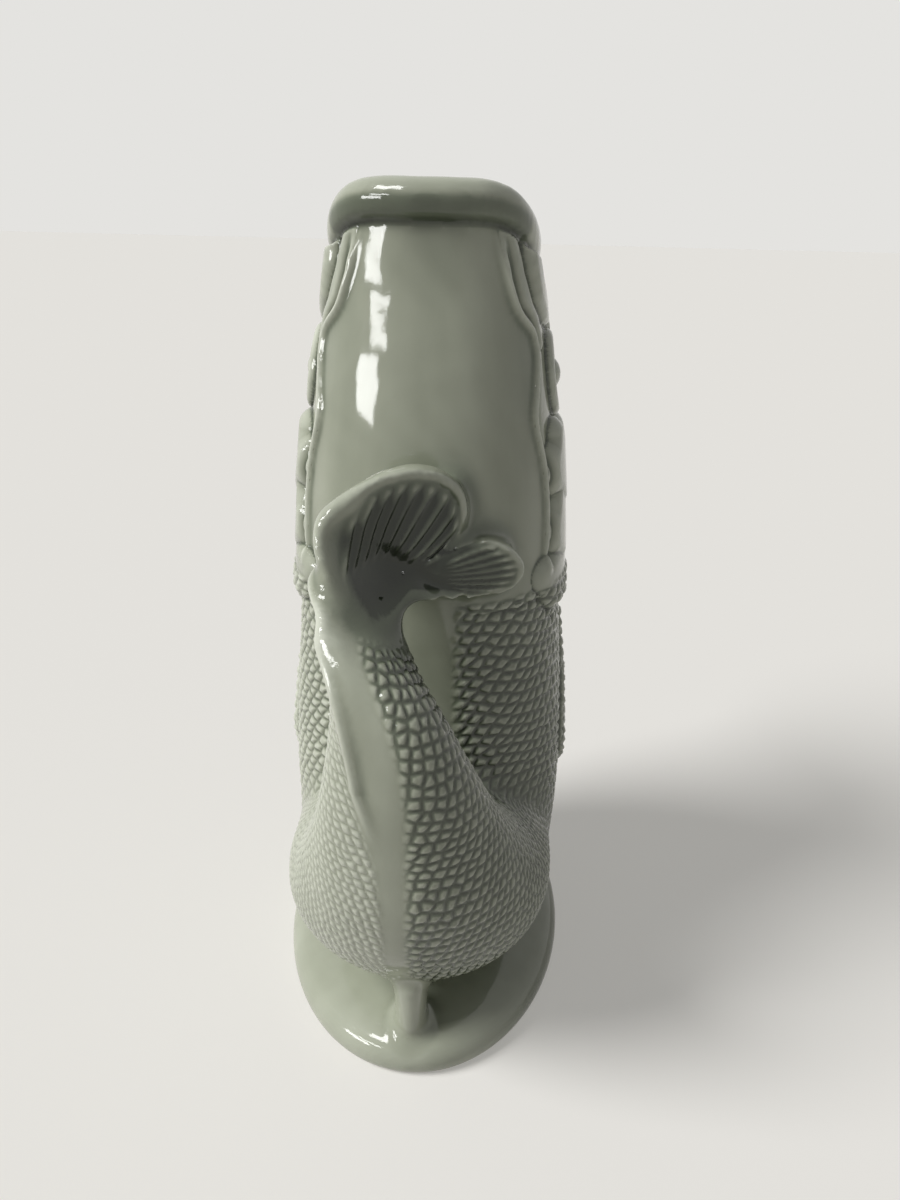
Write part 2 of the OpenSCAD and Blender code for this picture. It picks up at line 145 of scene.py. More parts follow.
# Body from the foot up: height, half width, back, front, middle, squareness of the back, and how
# much of the dip and of the spout the row has
BODY = np.array([
    [0.043, 0.350, -0.260, 0.360, 0.040, 2.10, 0, 0],
    [0.085, 0.425, -0.330, 0.455, 0.040, 2.10, 0, 0],
    [0.145, 0.478, -0.365, 0.535, 0.035, 2.10, 0, 0],
    [0.213, 0.499, -0.375, 0.590, 0.030, 2.10, 0, 0],
    [0.298, 0.500, -0.368, 0.625, 0.040, 2.10, 0, 0],
    [0.390, 0.488, -0.355, 0.632, 0.050, 2.15, 0, 0],
    [0.490, 0.467, -0.342, 0.610, 0.060, 2.20, 0, 0],
    [0.587, 0.445, -0.340, 0.570, 0.060, 2.30, 0, 0],
    [0.680, 0.424, -0.333, 0.530, 0.060, 2.35, 0, 0],
    [0.774, 0.397, -0.312, 0.505, 0.070, 2.40, 0, 0.02],
    [0.860, 0.368, -0.282, 0.500, 0.090, 2.50, 0.2, 0.14],
    [0.936, 0.338, -0.250, 0.500, 0.125, 2.60, 0.6, 0.46],
    [1.000, 0.312, -0.240, 0.500, 0.170, 2.70, 1, 1]])
BELLY_SQUARE = 2.1
# Tail from its root: reach, height, width, thickness, stand to the side, turn in degrees, dish
TAIL = np.array([
    [0.050, 0.188, 0.940, 0.900, 0.00, 0, 0],
    [0.294, 0.198, 0.940, 0.885, 0.00, 0, 0],
    [0.521, 0.233, 0.850, 0.780, 0.00, 0, 0],
    [0.691, 0.306, 0.620, 0.500, 0.00, 0, 0],
    [0.790, 0.388, 0.400, 0.230, -0.05, 0, 0],
    [0.833, 0.461, 0.240, 0.080, -0.14, 8, 0],
    [0.815, 0.530, 0.080, 0.020, -0.32, 28, 0],
    [0.734, 0.590, -0.050, 0.000, -0.54, 56, 0.45],
    [0.628, 0.641, -0.100, 0.000, -0.64, 74, 0.95],
    [0.537, 0.682, -0.140, 0.000, -0.62, 84, 1]])
# Thickness of the tail's root, as a share of the body's depth
ROOT_SHARE = 0.72
# Along the tail: its crest and the right edge of its smooth strip, in millimetres from the keel
TAIL_LINE = np.array([[2, -4.2, -1.2], [3, -3.8, -1.0], [4, -4.0, 0.2], [4.5, -5.4, 1.6],
                      [5, -6.4, 3.0], [5.5, -4.9, 4.8], [6, -3.0, 5.6], [6.5, -1.1, 6.2],
                      [7, -0.4, 6.6], [8, 0, 7.0]])
# How far the end of the tail is hollowed towards the fin
DISH_DEPTH = 1.25
# Where the tail ends inside the fin, counted in rows of its table
TAIL_END = 8.1
# Edge of the tail fin: across, stand-off from the back, up
FAN = np.array([
    [-0.400, 0.58, 0.24], [-0.446, 0.54, 0.50], [-0.440, 0.48, 0.70], [-0.310, 0.40, 0.84],
    [-0.125, 0.29, 0.94], [0.058, 0.20, 0.93], [0.190, 0.13, 0.80], [0.230, 0.10, 0.60],
    [0.195, 0.10, 0.41], [0.320, 0.09, 0.44], [0.450, 0.06, 0.36], [0.520, 0.03, 0.21],
    [0.475, 0.04, 0.08], [0.355, 0.09, 0.03], [0.165, 0.22, 0.07], [0.000, 0.39, 0.10],
    [-0.140, 0.51, 0.02], [-0.300, 0.58, 0.06]])
# Deepest place of the fin's hollow, in millimetres
FAN_ROOT = np.array([-2.5, -43.5, 155.5])
# Where the back of the fin ends inside the head
FAN_BACK = -28
# Where the tail runs out into the hollow
FAN_CROOK = np.array([-9.0, -52.0, 148.0])
# Ribs of the main lobe and of the small lobe: root, middle and end, across and up
MAIN_RIBS = [
    [[-16.4, 154.6], [-16.4, 164.6], [-14.2, 173.3]],
    [[-14.9, 155.5], [-14.0, 165.2], [-10.7, 175.0]],
    [[-13.4, 155.9], [-11.2, 166.5], [-7.3, 176.3]], [[-11.5, 156.4], [-8.5, 167.0], [-4.1, 177.4]],
    [[-9.7, 156.5], [-5.4, 167.1], [-0.4, 177.4]], [[-7.8, 156.2], [-2.2, 166.2], [3.4, 176.6]],
    [[-5.6, 155.9], [0.7, 164.5], [6.9, 174.5]], [[-3.3, 155.6], [3.2, 162.4], [9.8, 171.5]],
    [[-1.1, 155.3], [5.1, 160.8], [11.7, 167.8]], [[1.1, 155.4], [6.9, 159.6], [11.8, 163.8]]]
SMALL_RIBS = [
    [[6.3, 155.2], [12.0, 157.8], [18.7, 159.2]], [[5.9, 154.3], [13.6, 156.3], [22.5, 157.8]],
    [[5.5, 153.5], [15.1, 154.7], [25.6, 156.1]], [[5.2, 152.7], [15.2, 153.1], [26.9, 153.5]],
    [[4.8, 151.9], [15.2, 151.4], [26.7, 151.1]], [[4.8, 151.0], [14.5, 149.7], [25.7, 148.6]],
    [[4.8, 150.1], [13.8, 148.0], [23.8, 146.5]]]
# Ribs of a lobe: table, height, half width at the root and at the end, in millimetres
LOBES = ((MAIN_RIBS, 0.85, 0.55, 1.25), (SMALL_RIBS, 0.7, 0.5, 0.95))
# Foot of the fin, as a share of the jug's height
FAN_FOOT = 0.588
# Dome of the foot: height and how far in from its widest edge
FOOT = np.array([[0, 0.016], [0.12, 0.003], [0.28, 0], [0.46, 0.010], [0.62, 0.036],
                 [0.76, 0.085], [0.87, 0.150], [0.95, 0.230], [1, 0.320]])
# Ridges of the back: degrees from the middle of the back, and height
RIDGE = np.array([[30, 0.962], [34, 0.930], [42, 0.885], [54, 0.862], [57, 0.835], [55, 0.800],
                  [53, 0.765], [59, 0.715], [61, 0.670], [60, 0.625], [58, 0.585]])
# Bands seen from the side: depth, height, and half width as a share of the eye
JAW = np.array([[-0.080, 0.985, 0.42], [-0.076, 0.950, 0.42], [-0.072, 0.918, 0.44],
                [-0.050, 0.893, 0.47], [0.010, 0.874, 0.43], [0.095, 0.855, 0.37],
                [0.148, 0.836, 0.33], [0.172, 0.816, 0.27], [0.182, 0.796, 0.18],
                [0.186, 0.774, 0.08]])
# Low fold between the ridge and the jaw band
CHEEK = np.array([[-0.175, 0.955, 0.20], [-0.160, 0.925, 0.30], [-0.135, 0.895, 0.34],
                  [-0.105, 0.865, 0.30], [-0.085, 0.840, 0.16]])
GILLS = np.array([
    [[-0.045, 0.735, 0.55], [-0.055, 0.705, 0.85], [0.020, 0.690, 1.05], [0.120, 0.705, 1.05]],
    [[-0.055, 0.670, 0.50], [-0.060, 0.632, 0.85], [-0.010, 0.622, 0.95], [0.100, 0.645, 0.95]],
    [[-0.160, 0.585, 0.55], [-0.100, 0.572, 0.85], [0.000, 0.565, 0.80], [0.110, 0.585, 0.80]]])
# Round the rolled lip: out or in, and up
LIP = np.array([[0, 0], [0.75, 0.10], [1, 0.38], [0.95, 0.66], [0.5, 0.92],
                [-0.1, 1], [-0.6, 0.94], [-1, 0.75], [-1, 0]])
EYE_PLACE = (0.045, 0.8)
# Half width and half height of the ring of lids, and half its thickness, in millimetres
LIDS = np.array([7.8, 9.6])
LID = 2.2
# Seam of the head, seam of the belly and back of the head, as shares of height and depth
COLLAR = 0.563
BELLY = 0.3
BACK = 0.333
# Root of a side fin, the spread of its rays in degrees, and how many segments draw it
FIN_ROOT = (0.160, 0.475)
FIN_SPREAD = 38
FIN_SEGMENTS = 9
# Scales: width and height in millimetres, tilt in degrees, seed, stand-out and overlap
SCALES = {"body": (6.4, 4.2, 22, 3, 0.66, 0.35), "tail right": (4.9, 3.5, 30, 11, 0.52, 0.25),
          "tail left": (4.0, 2.9, -38, 7, 0.36, 0)}
# How unevenly the scales are laid, and the groove round one, as shares of half a scale
SCALE_SPREAD = 0.3
SCALE_GROOVE = 0.95
# How far the carved parts stand out, in millimetres
STAND = {"ridge": 1.35, "jaw": 1.7, "jaw at the lip": 1.3, "gill": 3.5, "side fin": 1.8,
         "ray": 0.35, "collar": 0.55, "fold": 0.9, "crest": 1.25, "brow of the crest": 1.5}
# Glaze: level on the flat, and how many smoothing steps find a hollow and how much each counts
FLAT_LEVEL = 0.45
POOL_STEPS = ((4, 0.75), (20, 0.75), (90, 0.26))
# Most triangles that one piece may have
MOST_TRIANGLES = 190000
# Camera: degrees down, rolled and turned; behind, aside and up, lens and frame in millimetres
CAMERA_DOWN, CAMERA_ROLL, CAMERA_TURN = 24.95, -1.25, 2.7
CAMERA_BEHIND, CAMERA_ASIDE, CAMERA_UP = 252.5, 6.25, 244
LENS, FRAME = 27.03, 36
# Light: glow of the floor and the room, and strength and spread in degrees of the daylight
FLOOR_GLOW, ROOM_GLOW, DAYLIGHT, DAYLIGHT_SPREAD = 0.38, 0.2, 3.3, 25
# Window panes: place, width and height in metres
PANES = {"window_top": ((-0.36, -0.52, 0.73), 0.36, 0.18),
         "window_upper": ((-0.58, -0.69, 0.395), 0.34, 0.06),
         "window_lower": ((-0.70, -0.58, 0.255), 0.36, 0.12)}


# Smooth runs through the tables

def spline(p, q, r, s, f):
    """A smooth curve through four values, at a share of the way from the second to the third."""
    return 0.5 * (2 * q + (r - p) * f + (2 * p - 5 * q + 4 * r - s) * f * f
                  + (3 * q - p - 3 * r + s) * f ** 3)


def along(rows, t):
    """Values of a table at places t along it, counted in rows."""
    last = len(rows) - 1
    t = np.clip(np.asarray(t, float), 0, last)
    i = np.minimum(np.floor(t).astype(int), last - 1)
    f = (t - i)[..., None]
    return spline(rows[np.maximum(i - 1, 0)], rows[i], rows[i + 1],
                  rows[np.minimum(i + 2, last)], f)


def around(rows, t):
    """The same for a table whose last row runs on into its first."""
    n = len(rows)
    t = np.asarray(t, float)
    i = np.floor(t).astype(int)
    f = (t - i)[..., None]
    return spline(rows[(i - 1) % n], rows[i % n], rows[(i + 1) % n], rows[(i + 2) % n], f)


def signed_pow(v, p):
    """A power that keeps the sign of its value."""
    return np.sign(v) * np.abs(v) ** p


def smooth_step(low, high, v):
    f = np.clip((v - low) / (high - low), 0, 1)
    return f * f * (3 - 2 * f)


def between(low, high, high_end, low_end, v):
    """1 in a range, with a soft step up to it and another down from it."""
    return smooth_step(low, high, v) * (1 - smooth_step(high_end, low_end, v))


def from_crook(points):
    """Distance from where the tail runs out into the fin."""
    return np.linalg.norm(points - FAN_CROOK, axis=1)


def bell(v, wide):
    """1 at zero, falling off to both sides."""
    return np.exp(-(v / wide) ** 2)


def places(table, n):
    """Places spread evenly along a table, counted in rows."""
    return np.linspace(0, len(table) - 1, n)


def circle(n):
    return np.linspace(0, 2 * np.pi, n, endpoint=False)


def oval(half_x, half_y, z, n):
    """A level oval round the jug's axis."""
    a = circle(n)
    return np.stack([half_x * np.cos(a), half_y * np.sin(a), np.full(n, z)], 1)


def seat_height():
    """Height of the seam under the lip."""
    return size("height") - size("lip_height")


def body_point(row, a, out=0.0):
    """Place on the body's outline, for rows of the table and angles in radians."""
    sin, cos = np.sin(a), np.cos(a)
    mid = row[..., 4] * size("body_depth")
    e = 2 / np.where(sin < 0, row[..., 5], BELLY_SQUARE)
    half = row[..., 1] * size("body_width") + out
    spout = size("spout_reach") - size("lip_out")
    front = row[..., 3] * size("body_depth") * (1 - row[..., 7]) + spout * row[..., 7]
    reach = np.where(sin < 0, mid - row[..., 2] * size("body_depth"), front - mid) + out
    drop = size("mouth_dip") * cos ** 4 + np.where(sin > 0, size("spout_drop") * sin ** 2, 0)
    return np.stack([half * signed_pow(cos, e), mid + reach * signed_pow(sin, e),
                     row[..., 0] * seat_height() - row[..., 6] * drop], -1)


def body_row(z):
    """Place along the body's table at a height."""
    t = places(BODY, 481)
    return np.interp(z, along(BODY, t)[:, 0] * seat_height(), t)


def body_rings(t, n, out=0.0):
    return body_point(along(BODY, t)[:, None, :], circle(n)[None, :], out)


def tail_frame(t):
    """Middle line of the tail, its axes, half width, half thickness and dish."""
    row = along(TAIL, t)

    def place(s):
        r = along(TAIL, s)
        return np.stack([r[..., 4] * size("grip_width"), -r[..., 0] * size("tail_reach"),
                         r[..., 1] * size("height")], -1)

    step = place(np.minimum(t + 0.05, len(TAIL) - 1)) - place(np.maximum(t - 0.05, 0))
    step[..., 0] = 0
    run = step / np.linalg.norm(step, axis=-1, keepdims=True)
    turn = np.radians(row[..., 5])[..., None]
    zero = np.zeros_like(run[..., 0])
    keel = np.stack([zero, -run[..., 2], run[..., 1]], -1)
    right = np.array([1.0, 0, 0])
    over_keel = np.cos(turn) * keel - np.sin(turn) * right
    aside = np.cos(turn) * right + np.sin(turn) * keel
    half_w = (size("grip_width") + (size("body_width") - size("grip_width")) * row[..., 2]) / 2
    root_t = ROOT_SHARE * size("body_depth")
    half_t = (size("grip_depth") + (root_t - size("grip_depth")) * row[..., 3]) / 2
    return place(t), run, over_keel, aside, half_w, half_t, row[..., 6]


def tail_rings(t, n, out=0.0):
    """Rings of the tail, hollowed on the right where it runs into the fin."""
    place, run, over_keel, aside, half_w, half_t, dish = tail_frame(t)
    a = circle(n)[None, :]
    flat = np.where(np.cos(a) > 0, 1 - DISH_DEPTH * dish[:, None], 1)
    across = (half_w[:, None] + out) * flat * np.cos(a)
    deep = (half_t[:, None] + out) * np.sin(a)
    return (place[:, None, :] + across[..., None] * aside[:, None, :]
            - deep[..., None] * over_keel[:, None, :])


def fan_place(p):
    """Place in millimetres from shares of the fin."""
    p = np.asarray(p, float)
    back = -BACK * size("body_depth")
    return np.stack([p[..., 0] * size("fan_width"), back - p[..., 1] * (size("tail_reach") + back),
                     FAN_FOOT * size("height") + p[..., 2] * size("fan_height")], -1)


# Meshes

def only(obj):
    """Select one object and nothing else."""
    if bpy.context.mode != "OBJECT":
        bpy.ops.object.mode_set(mode="OBJECT")
    bpy.ops.object.select_all(action="DESELECT")
    obj.select_set(True)
    bpy.context.view_layer.objects.active = obj


def join(objs):
    """Make one object of several, which keeps the first one's name."""
    only(objs[0])
    for obj in objs[1:]:
        obj.select_set(True)
    if len(objs) > 1:
        bpy.ops.object.join()
    return objs[0]


def apply_modifier(obj, kind, **settings):
    only(obj)
    modifier = obj.modifiers.new(kind.lower(), kind)
    for key, value in settings.items():
        setattr(modifier, key, value)
    bpy.ops.object.modifier_apply(modifier=modifier.name)


def mesh_object(name, points, faces):
    """An object from points in millimetres."""
    mesh = bpy.data.meshes.new(name)
    mesh.from_pydata((np.asarray(points) * MM).tolist(), [], faces)
    mesh.validate()
    obj = bpy.data.objects.new(name, mesh)
    bpy.context.scene.collection.objects.link(obj)
    return obj


def outwards(obj):
    """Turn all faces outwards."""
    bm = bmesh.new()
    bm.from_mesh(obj.data)
    bmesh.ops.recalc_face_normals(bm, faces=bm.faces)
    bm.to_mesh(obj.data)
    bm.free()


def ring_faces(count, n, bands):
    """Faces of the bands between rings of n points, each joined to the next."""
    k = np.arange(n)
    nxt = (k + 1) % n
    faces = []
    for i in range(bands):
        a, b = i * n, ((i + 1) % count) * n
        faces += np.stack([a + k, a + nxt, b + nxt, b + k], 1).tolist()
    return faces


def loft(name, rings):
    """A closed solid through rings of points, each end closed on its own middle."""
    rings = np.asarray(rings)
    count, n = rings.shape[:2]
    points = np.vstack([rings.reshape(-1, 3), rings[0].mean(0), rings[-1].mean(0)])
    faces = ring_faces(count, n, count - 1)
    k = np.arange(n)
    nxt = (k + 1) % n
    low, high = count * n, count * n + 1
    faces += np.stack([nxt, k, np.full(n, low)], 1).tolist()
    faces += np.stack([(count - 1) * n + k, (count - 1) * n + nxt, np.full(n, high)], 1).tolist()
    obj = mesh_object(name, points, faces)
    outwards(obj)
    return obj


def swept_ring(name, rings):
    """A closed band: every ring is a closed section, and the last joins the first."""
    rings = np.asarray(rings)
    count, n = rings.shape[:2]
    obj = mesh_object(name, rings.reshape(-1, 3), ring_faces(count, n, count))
    outwards(obj)
    return obj


def copy_of(obj, name):
    twin = obj.copy()
    twin.data = obj.data.copy()
    twin.name = name
    bpy.context.scene.collection.objects.link(twin)
    return twin


def drop(*objs):
    for obj in objs:
        bpy.data.objects.remove(obj)


def boolean(obj, cutter, operation):
    apply_modifier(obj, "BOOLEAN", operation=operation, object=cutter, solver="MANIFOLD")
    return obj


def cut_away(obj, cutter):
    """Take the cutter's shape off an object, and drop the cutter."""
    boolean(obj, cutter, "DIFFERENCE")
    drop(cutter)


def read(mesh_part, key, width):
    values = np.empty(len(mesh_part) * width, np.float32)
    mesh_part.foreach_get(key, values)
    return values.reshape(-1, width) if width > 1 else values


def points_of(obj):
    return read(obj.data.vertices, "co", 3).astype(float) / MM


def normals_of(obj):
    return read(obj.data.vertex_normals, "vector", 3).astype(float)


def set_points(obj, points):
    obj.data.vertices.foreach_set("co", (points * MM).astype(np.float32).ravel())
    obj.data.update()


def store(obj, name, values):
    layer = obj.data.attributes.get(name) or obj.data.attributes.new(name, "FLOAT", "POINT")
    layer.data.foreach_set("value", np.asarray(values, np.float32))


def stored(obj, name):
    return read(obj.data.attributes[name].data, "value", 1).astype(float)


# The members of the skin

def rim_rings(section, n):
    """A section swept round the rim, in stand-outs and heights in millimetres."""
    a = circle(n)
    row = along(BODY, np.array([len(BODY) - 1.0]))[0]
    rings = []
    for out, up in section:
        beyond = out * (1 - 0.5 * np.cos(a) ** 6) if out > 0 else out
        rings.append(body_point(row[None, :], a, beyond) + [0, 0, up])
    return np.stack(rings, 1)


def make_body():
    rings = body_rings(places(BODY, 145), 180)
    top = rings[-1:] + [0, 0, 0.35 * size("lip_height")]
    return loft("body_member", np.concatenate([rings, top]))


def make_lip():
    points = []
    for k in range(len(LIP) * 4):
        x, z = around(LIP, k / 4)
        points.append((x * (size("lip_out") if x > 0 else size("wall")), z * size("lip_height")))
    return swept_ring("lip_member", rim_rings(points, 200))


def make_tail():
    return loft("tail_member", tail_rings(np.linspace(0, TAIL_END, 121), 96))


def fan_outline():
    """Edge of the tail fin round its hollow: angle, reach, stand-off and rim width."""
    edge = fan_place(around(FAN, np.linspace(0, len(FAN), 360, endpoint=False)))
    rel = edge[:, [0, 2]] - FAN_ROOT[[0, 2]]
    angle = np.unwrap(np.arctan2(rel[:, 1], rel[:, 0]))
    lowest = np.minimum.accumulate(angle)
    keep = np.append(True, angle[1:] < lowest[:-1] - 1e-4)
    left = smooth_step(-10, -18, edge[:, 0])
    lobe = smooth_step(12, 17, edge[:, 0])
    rim = 3.0 + 2.6 * left - 1.3 * lobe
    even = np.radians(np.arange(0, 360, 1.5))
    columns = [np.hypot(rel[:, 0], rel[:, 1]), edge[:, 1], rim]
    return [even] + [np.interp(even, np.mod(angle[keep], 2 * np.pi)[::-1], c[keep][::-1],
                               period=2 * np.pi) for c in columns]


def hollow_depth(x, z, g, foot):
    """Depth of the hollow at a share of the way to its edge, with a pit towards the tail."""
    pit = 3.0 * np.exp(-((x + 11) ** 2 + (z - 154.5) ** 2) / 45) * (1 - g * g)
    return FAN_ROOT[1] + (foot - FAN_ROOT[1]) * g ** 1.5 + pit


def make_fan():
    """A cupped fin: a rounded rim round a hollow that is deepest at its root."""
    angle, reach, stand, rim = fan_outline()
    spread = np.stack([np.cos(angle), np.sin(angle)], 1)
    inner = reach - rim
    foot = stand + 0.5 * rim

    def ring(r, y):
        return np.column_stack([FAN_ROOT[0] + r * spread[:, 0], y, FAN_ROOT[2] + r * spread[:, 1]])

    rings = []
    for g in (0.05, 0.15, 0.3, 0.45, 0.6, 0.72, 0.82, 0.9, 0.96, 1.0):
        rings.append(ring(g * inner, foot))
        rings[-1][:, 1] = hollow_depth(rings[-1][:, 0], rings[-1][:, 2], g, foot)
    for f in (0.12, 0.3, 0.5, 0.7, 0.88, 1.0):
        bulge = 0.32 * rim * math.sin(math.pi * f)
        rings.append(ring(inner + f * rim, foot + (stand + 0.12 * rim - foot) * f - bulge))
    rings.append(ring(reach + 0.35, stand + 0.4 * size("fan_depth")))
    rings.append(ring(reach, stand + size("fan_depth")))
    # The back of the fin runs into the head
    rings.append(ring(0.66 * reach, 0.35 * stand + 0.65 * FAN_BACK))
    rings.append(ring(0.3 * reach, 0.1 * stand + 0.9 * FAN_BACK))
    rings.append(ring(0.04 * reach, np.full(len(stand), FAN_BACK + 2.0)))
    return loft("fan_member", rings)


def fan_face(x, z):
    """Depth of the hollow face at places across the fin, and how far out they lie."""
    angle, reach, stand, rim = fan_outline()
    rel_x, rel_z = x - FAN_ROOT[0], z - FAN_ROOT[2]
    here = np.arctan2(rel_z, rel_x)
    wide = [np.interp(here, angle, v, period=2 * np.pi) for v in (reach, stand, rim)]
    inner = wide[0] - wide[2]
    g = np.hypot(rel_x, rel_z) / inner
    foot = wide[1] + 0.5 * wide[2]
    return hollow_depth(x, z, np.clip(g, 0, 1), foot), g


def foot_rings(out=0.0):
    rings = []
    wide, long, tall = size("foot_width"), size("foot_length"), size("foot_height")
    for height, inset in along(FOOT, places(FOOT, 33)):
        half = np.array([wide / 2, long / 2]) - inset * wide + out
        rings.append(oval(half[0], half[1], height * tall + (out if height > 0.5 else 0), 160))
    return rings


def make_foot():
    return loft("foot_member", foot_rings())


def make_prop():
    rings = []
    for f in np.linspace(0, 1.15, 14):
        width = size("prop") * (1 + 0.45 * min(f, 1.0) ** 2) / 2
        ring = oval(width, 1.25 * width, size("foot_height") * (0.5 + 2.1 * f), 40)
        rings.append(ring + [0, -0.43 * size("foot_length"), 0])
    return loft("prop_member", rings)


MEMBERS = ("body", "tail", "fan", "lip", "foot", "prop")
# How far a soft corner reaches between two members, in millimetres
CORNERS = {("body", "tail"): 13, ("body", "fan"): 6, ("tail", "fan"): 7, ("body", "foot"): 2.5,
           ("tail", "foot"): 3, ("tail", "prop"): 4, ("foot", "prop"): 4, ("body", "lip"): 0.7,
           ("fan", "lip"): 3}


def smooth_group(skin, name, weight, steps):
    """Smooth the skin as strongly as its points' weights say."""
    group = skin.vertex_groups.new(name=name)
    for i in np.flatnonzero(weight > 0):
        group.add([int(i)], float(weight[i]), "REPLACE")
    apply_modifier(skin, "SMOOTH", factor=0.5, iterations=steps, vertex_group=name)


def make_skin():
    """Fuse the members into one skin and soften the corners between them."""
    members = {"body": make_body(), "lip": make_lip(), "tail": make_tail(), "fan": make_fan(),
               "foot": make_foot(), "prop": make_prop()}
    skin = join([copy_of(members[name], "clay_skin") for name in MEMBERS])
    apply_modifier(skin, "REMESH", mode="VOXEL", voxel_size=size("grid") * MM, adaptivity=0)
    points = points_of(skin)
    near = {}
    far = 16.0
    for name in MEMBERS:
        corners = points_of(members[name])
        low, high = corners.min(0) - far, corners.max(0) + far
        inside = np.all((points > low) & (points < high), 1)
        tree = BVHTree.FromObject(members[name], bpy.context.evaluated_depsgraph_get())
        away = np.full(len(points), far)
        for i in np.flatnonzero(inside):
            hit = tree.find_nearest(points[i] * MM, far * MM)
            if hit[3] is not None:
                away[i] = hit[3] / MM
        near[name] = away
        store(skin, "near_" + name, away)
    weight = np.zeros(len(points))
    for (one, other), reach in CORNERS.items():
        weight = np.maximum(weight, 1 - np.maximum(near[one], near[other]) / reach)
    smooth_group(skin, "corner", np.where(weight > 0.02, np.minimum(1.0, weight * 1.5), 0), 140)
    apply_modifier(skin, "SMOOTH", factor=0.5, iterations=3)
    set_points(skin, hollow_fan(points_of(skin), near))
    weight = smooth_step(16, 8, from_crook(points_of(skin)))
    smooth_group(skin, "hollow", np.where(weight > 0.02, weight, 0), 60)
    apply_modifier(skin, "SUBSURF", levels=1, render_levels=1)
    drop(*members.values())
    return skin


# Relief of the skin

def random_pair(i, j, seed):
    """Two repeatable random numbers for each cell."""
    h = np.sin(i * 127.1 + j * 311.7 + seed * 74.7) * 43758.5453
    g = np.sin(i * 269.5 + j * 183.3 + seed * 38.3) * 24634.6345
    return h - np.floor(h), g - np.floor(g)


def cells(u, v, wide, tall, seed):
    """Leaf-shaped cells on a diamond lattice: 1 on a cell's middle, 0 in its groove.

    Also gives how far up in its cell each point lies, from -1 to 1."""
    sway = 0.8 * np.sin(u / 7.3 + 1.7 * np.sin(v / 11.0) + seed)
    x, y = 2 * u / wide, 2 * (v + sway) / tall
    first = np.full(x.shape, 9.0)
    second = np.full(x.shape, 9.0)
    lean = np.zeros(x.shape)
    for dj in (-1, 0, 1):
        j = np.round(y) + dj
        odd = np.mod(j, 2)
        for di in (-2, 0, 2):
            i = 2 * np.round((x - odd) / 2) + odd + di
            p, q = random_pair(i, j, seed)
            dx = x - i - (p - 0.5) * 2 * SCALE_SPREAD
            dy = y - j - (q - 0.5) * 2 * SCALE_SPREAD
            away = np.sqrt(dx * dx + dy * dy)
            nearer = away < first
            second = np.where(nearer, first, np.minimum(second, away))
            lean = np.where(nearer, dy, lean)
            first = np.where(nearer, away, first)
    inside = np.clip((second - first) / SCALE_GROOVE, 0, 1)
    return inside * inside * (3 - 2 * inside), np.clip(lean, -1, 1)


def to_segment(points, a, b):
    """Share of the way along a segment, and the distance from it."""
    d = b - a
    f = np.clip(((points - a) @ d) / (d @ d), 0, 1)
    return f, np.linalg.norm(points - a - f[:, None] * d, axis=1)


def to_path(points, path):
    """Distance from points to a broken line, and the place along it."""
    best = np.full(len(points), 1e9)
    place = np.zeros(len(points))
    for k in range(len(path) - 1):
        f, away = to_segment(points, path[k], path[k + 1])
        closer = away < best
        best = np.where(closer, away, best)
        place = np.where(closer, k + f, place)
    return best, place


def to_band(points, rows):
    """Signed distance to a round-ended band seen from the side: below zero inside."""
    best = np.full(len(points), 1e9)
    for a, b in zip(rows[:-1], rows[1:]):
        f, away = to_segment(points, a[:2], b[:2])
        best = np.minimum(best, away - (a[2] + (b[2] - a[2]) * f))
    return best


def plate(f, edge):
    """Height of a plate with a rounded edge: 0 at its outline and 1 further in."""
    inside = np.clip(-f / edge, 0, 1)
    return 0.5 * np.sqrt(1 - (1 - inside) ** 2) + 0.5 * np.sin(inside * np.pi / 2)


def from_side(share):
    """Place in the side view, from shares of the body's depth and the jug's height."""
    return np.array([share[0] * size("body_depth"), share[1] * size("height")])


def side_rows(rows):
    return np.array(rows, float) * [size("body_depth"), size("height"), size("eye")]


def fin_segments():
    """Root of a side fin, and the segments that draw it in the side view."""
    root = from_side(FIN_ROOT)
    radius = 0.058 * size("side_fin")
    rows = []
    for f in np.linspace(0, 1, FIN_SEGMENTS):
        turn = math.radians(2 + FIN_SPREAD * (f - 0.5))
        reach = size("side_fin") * (1 - 0.28 * f ** 2)
        end = root - reach * np.array([math.sin(turn), math.cos(turn)])
        rows.append(np.array([[root[0], root[1], radius], [end[0], end[1], radius]]))
    return root, rows


def body_coordinates(points):
    """Arc length round the body from the middle of the back, positive to the right."""
    z = np.linspace(8, 240, 59)
    a = np.linspace(-1.5 * np.pi, 0.5 * np.pi, 241)
    ring = body_point(along(BODY, body_row(z))[:, None, :], a[None, :])
    mids = along(BODY, body_row(z))[:, 4] * size("body_depth")
    steps = np.linalg.norm(np.diff(ring, axis=1)[..., :2], axis=2)
    arc = np.concatenate([np.zeros((len(z), 1)), np.cumsum(steps, 1)], 1)
    arc -= arc[:, 120:121]
    seen = np.unwrap(np.arctan2(ring[..., 1] - mids[:, None], ring[..., 0]), axis=1)
    seen = seen - seen[:, 120:121]
    here = np.arctan2(points[:, 1] - np.interp(points[:, 2], z, mids), points[:, 0])
    here = np.mod(here + np.pi / 2 + np.pi, 2 * np.pi) - np.pi
    fine = np.linspace(-np.pi, np.pi, 361)
    table = np.array([np.interp(fine, seen[i], arc[i]) for i in range(len(z))])
    row = np.clip((points[:, 2] - z[0]) / (z[1] - z[0]), 0, len(z) - 1.001)
    col = np.clip((here + np.pi) / (2 * np.pi) * 360, 0, 359.999)
    i, j = row.astype(int), col.astype(int)
    f, g = row - i, col - j
    return (table[i, j] * (1 - f) * (1 - g) + table[i + 1, j] * f * (1 - g)
            + table[i, j + 1] * (1 - f) * g + table[i + 1, j + 1] * f * g)


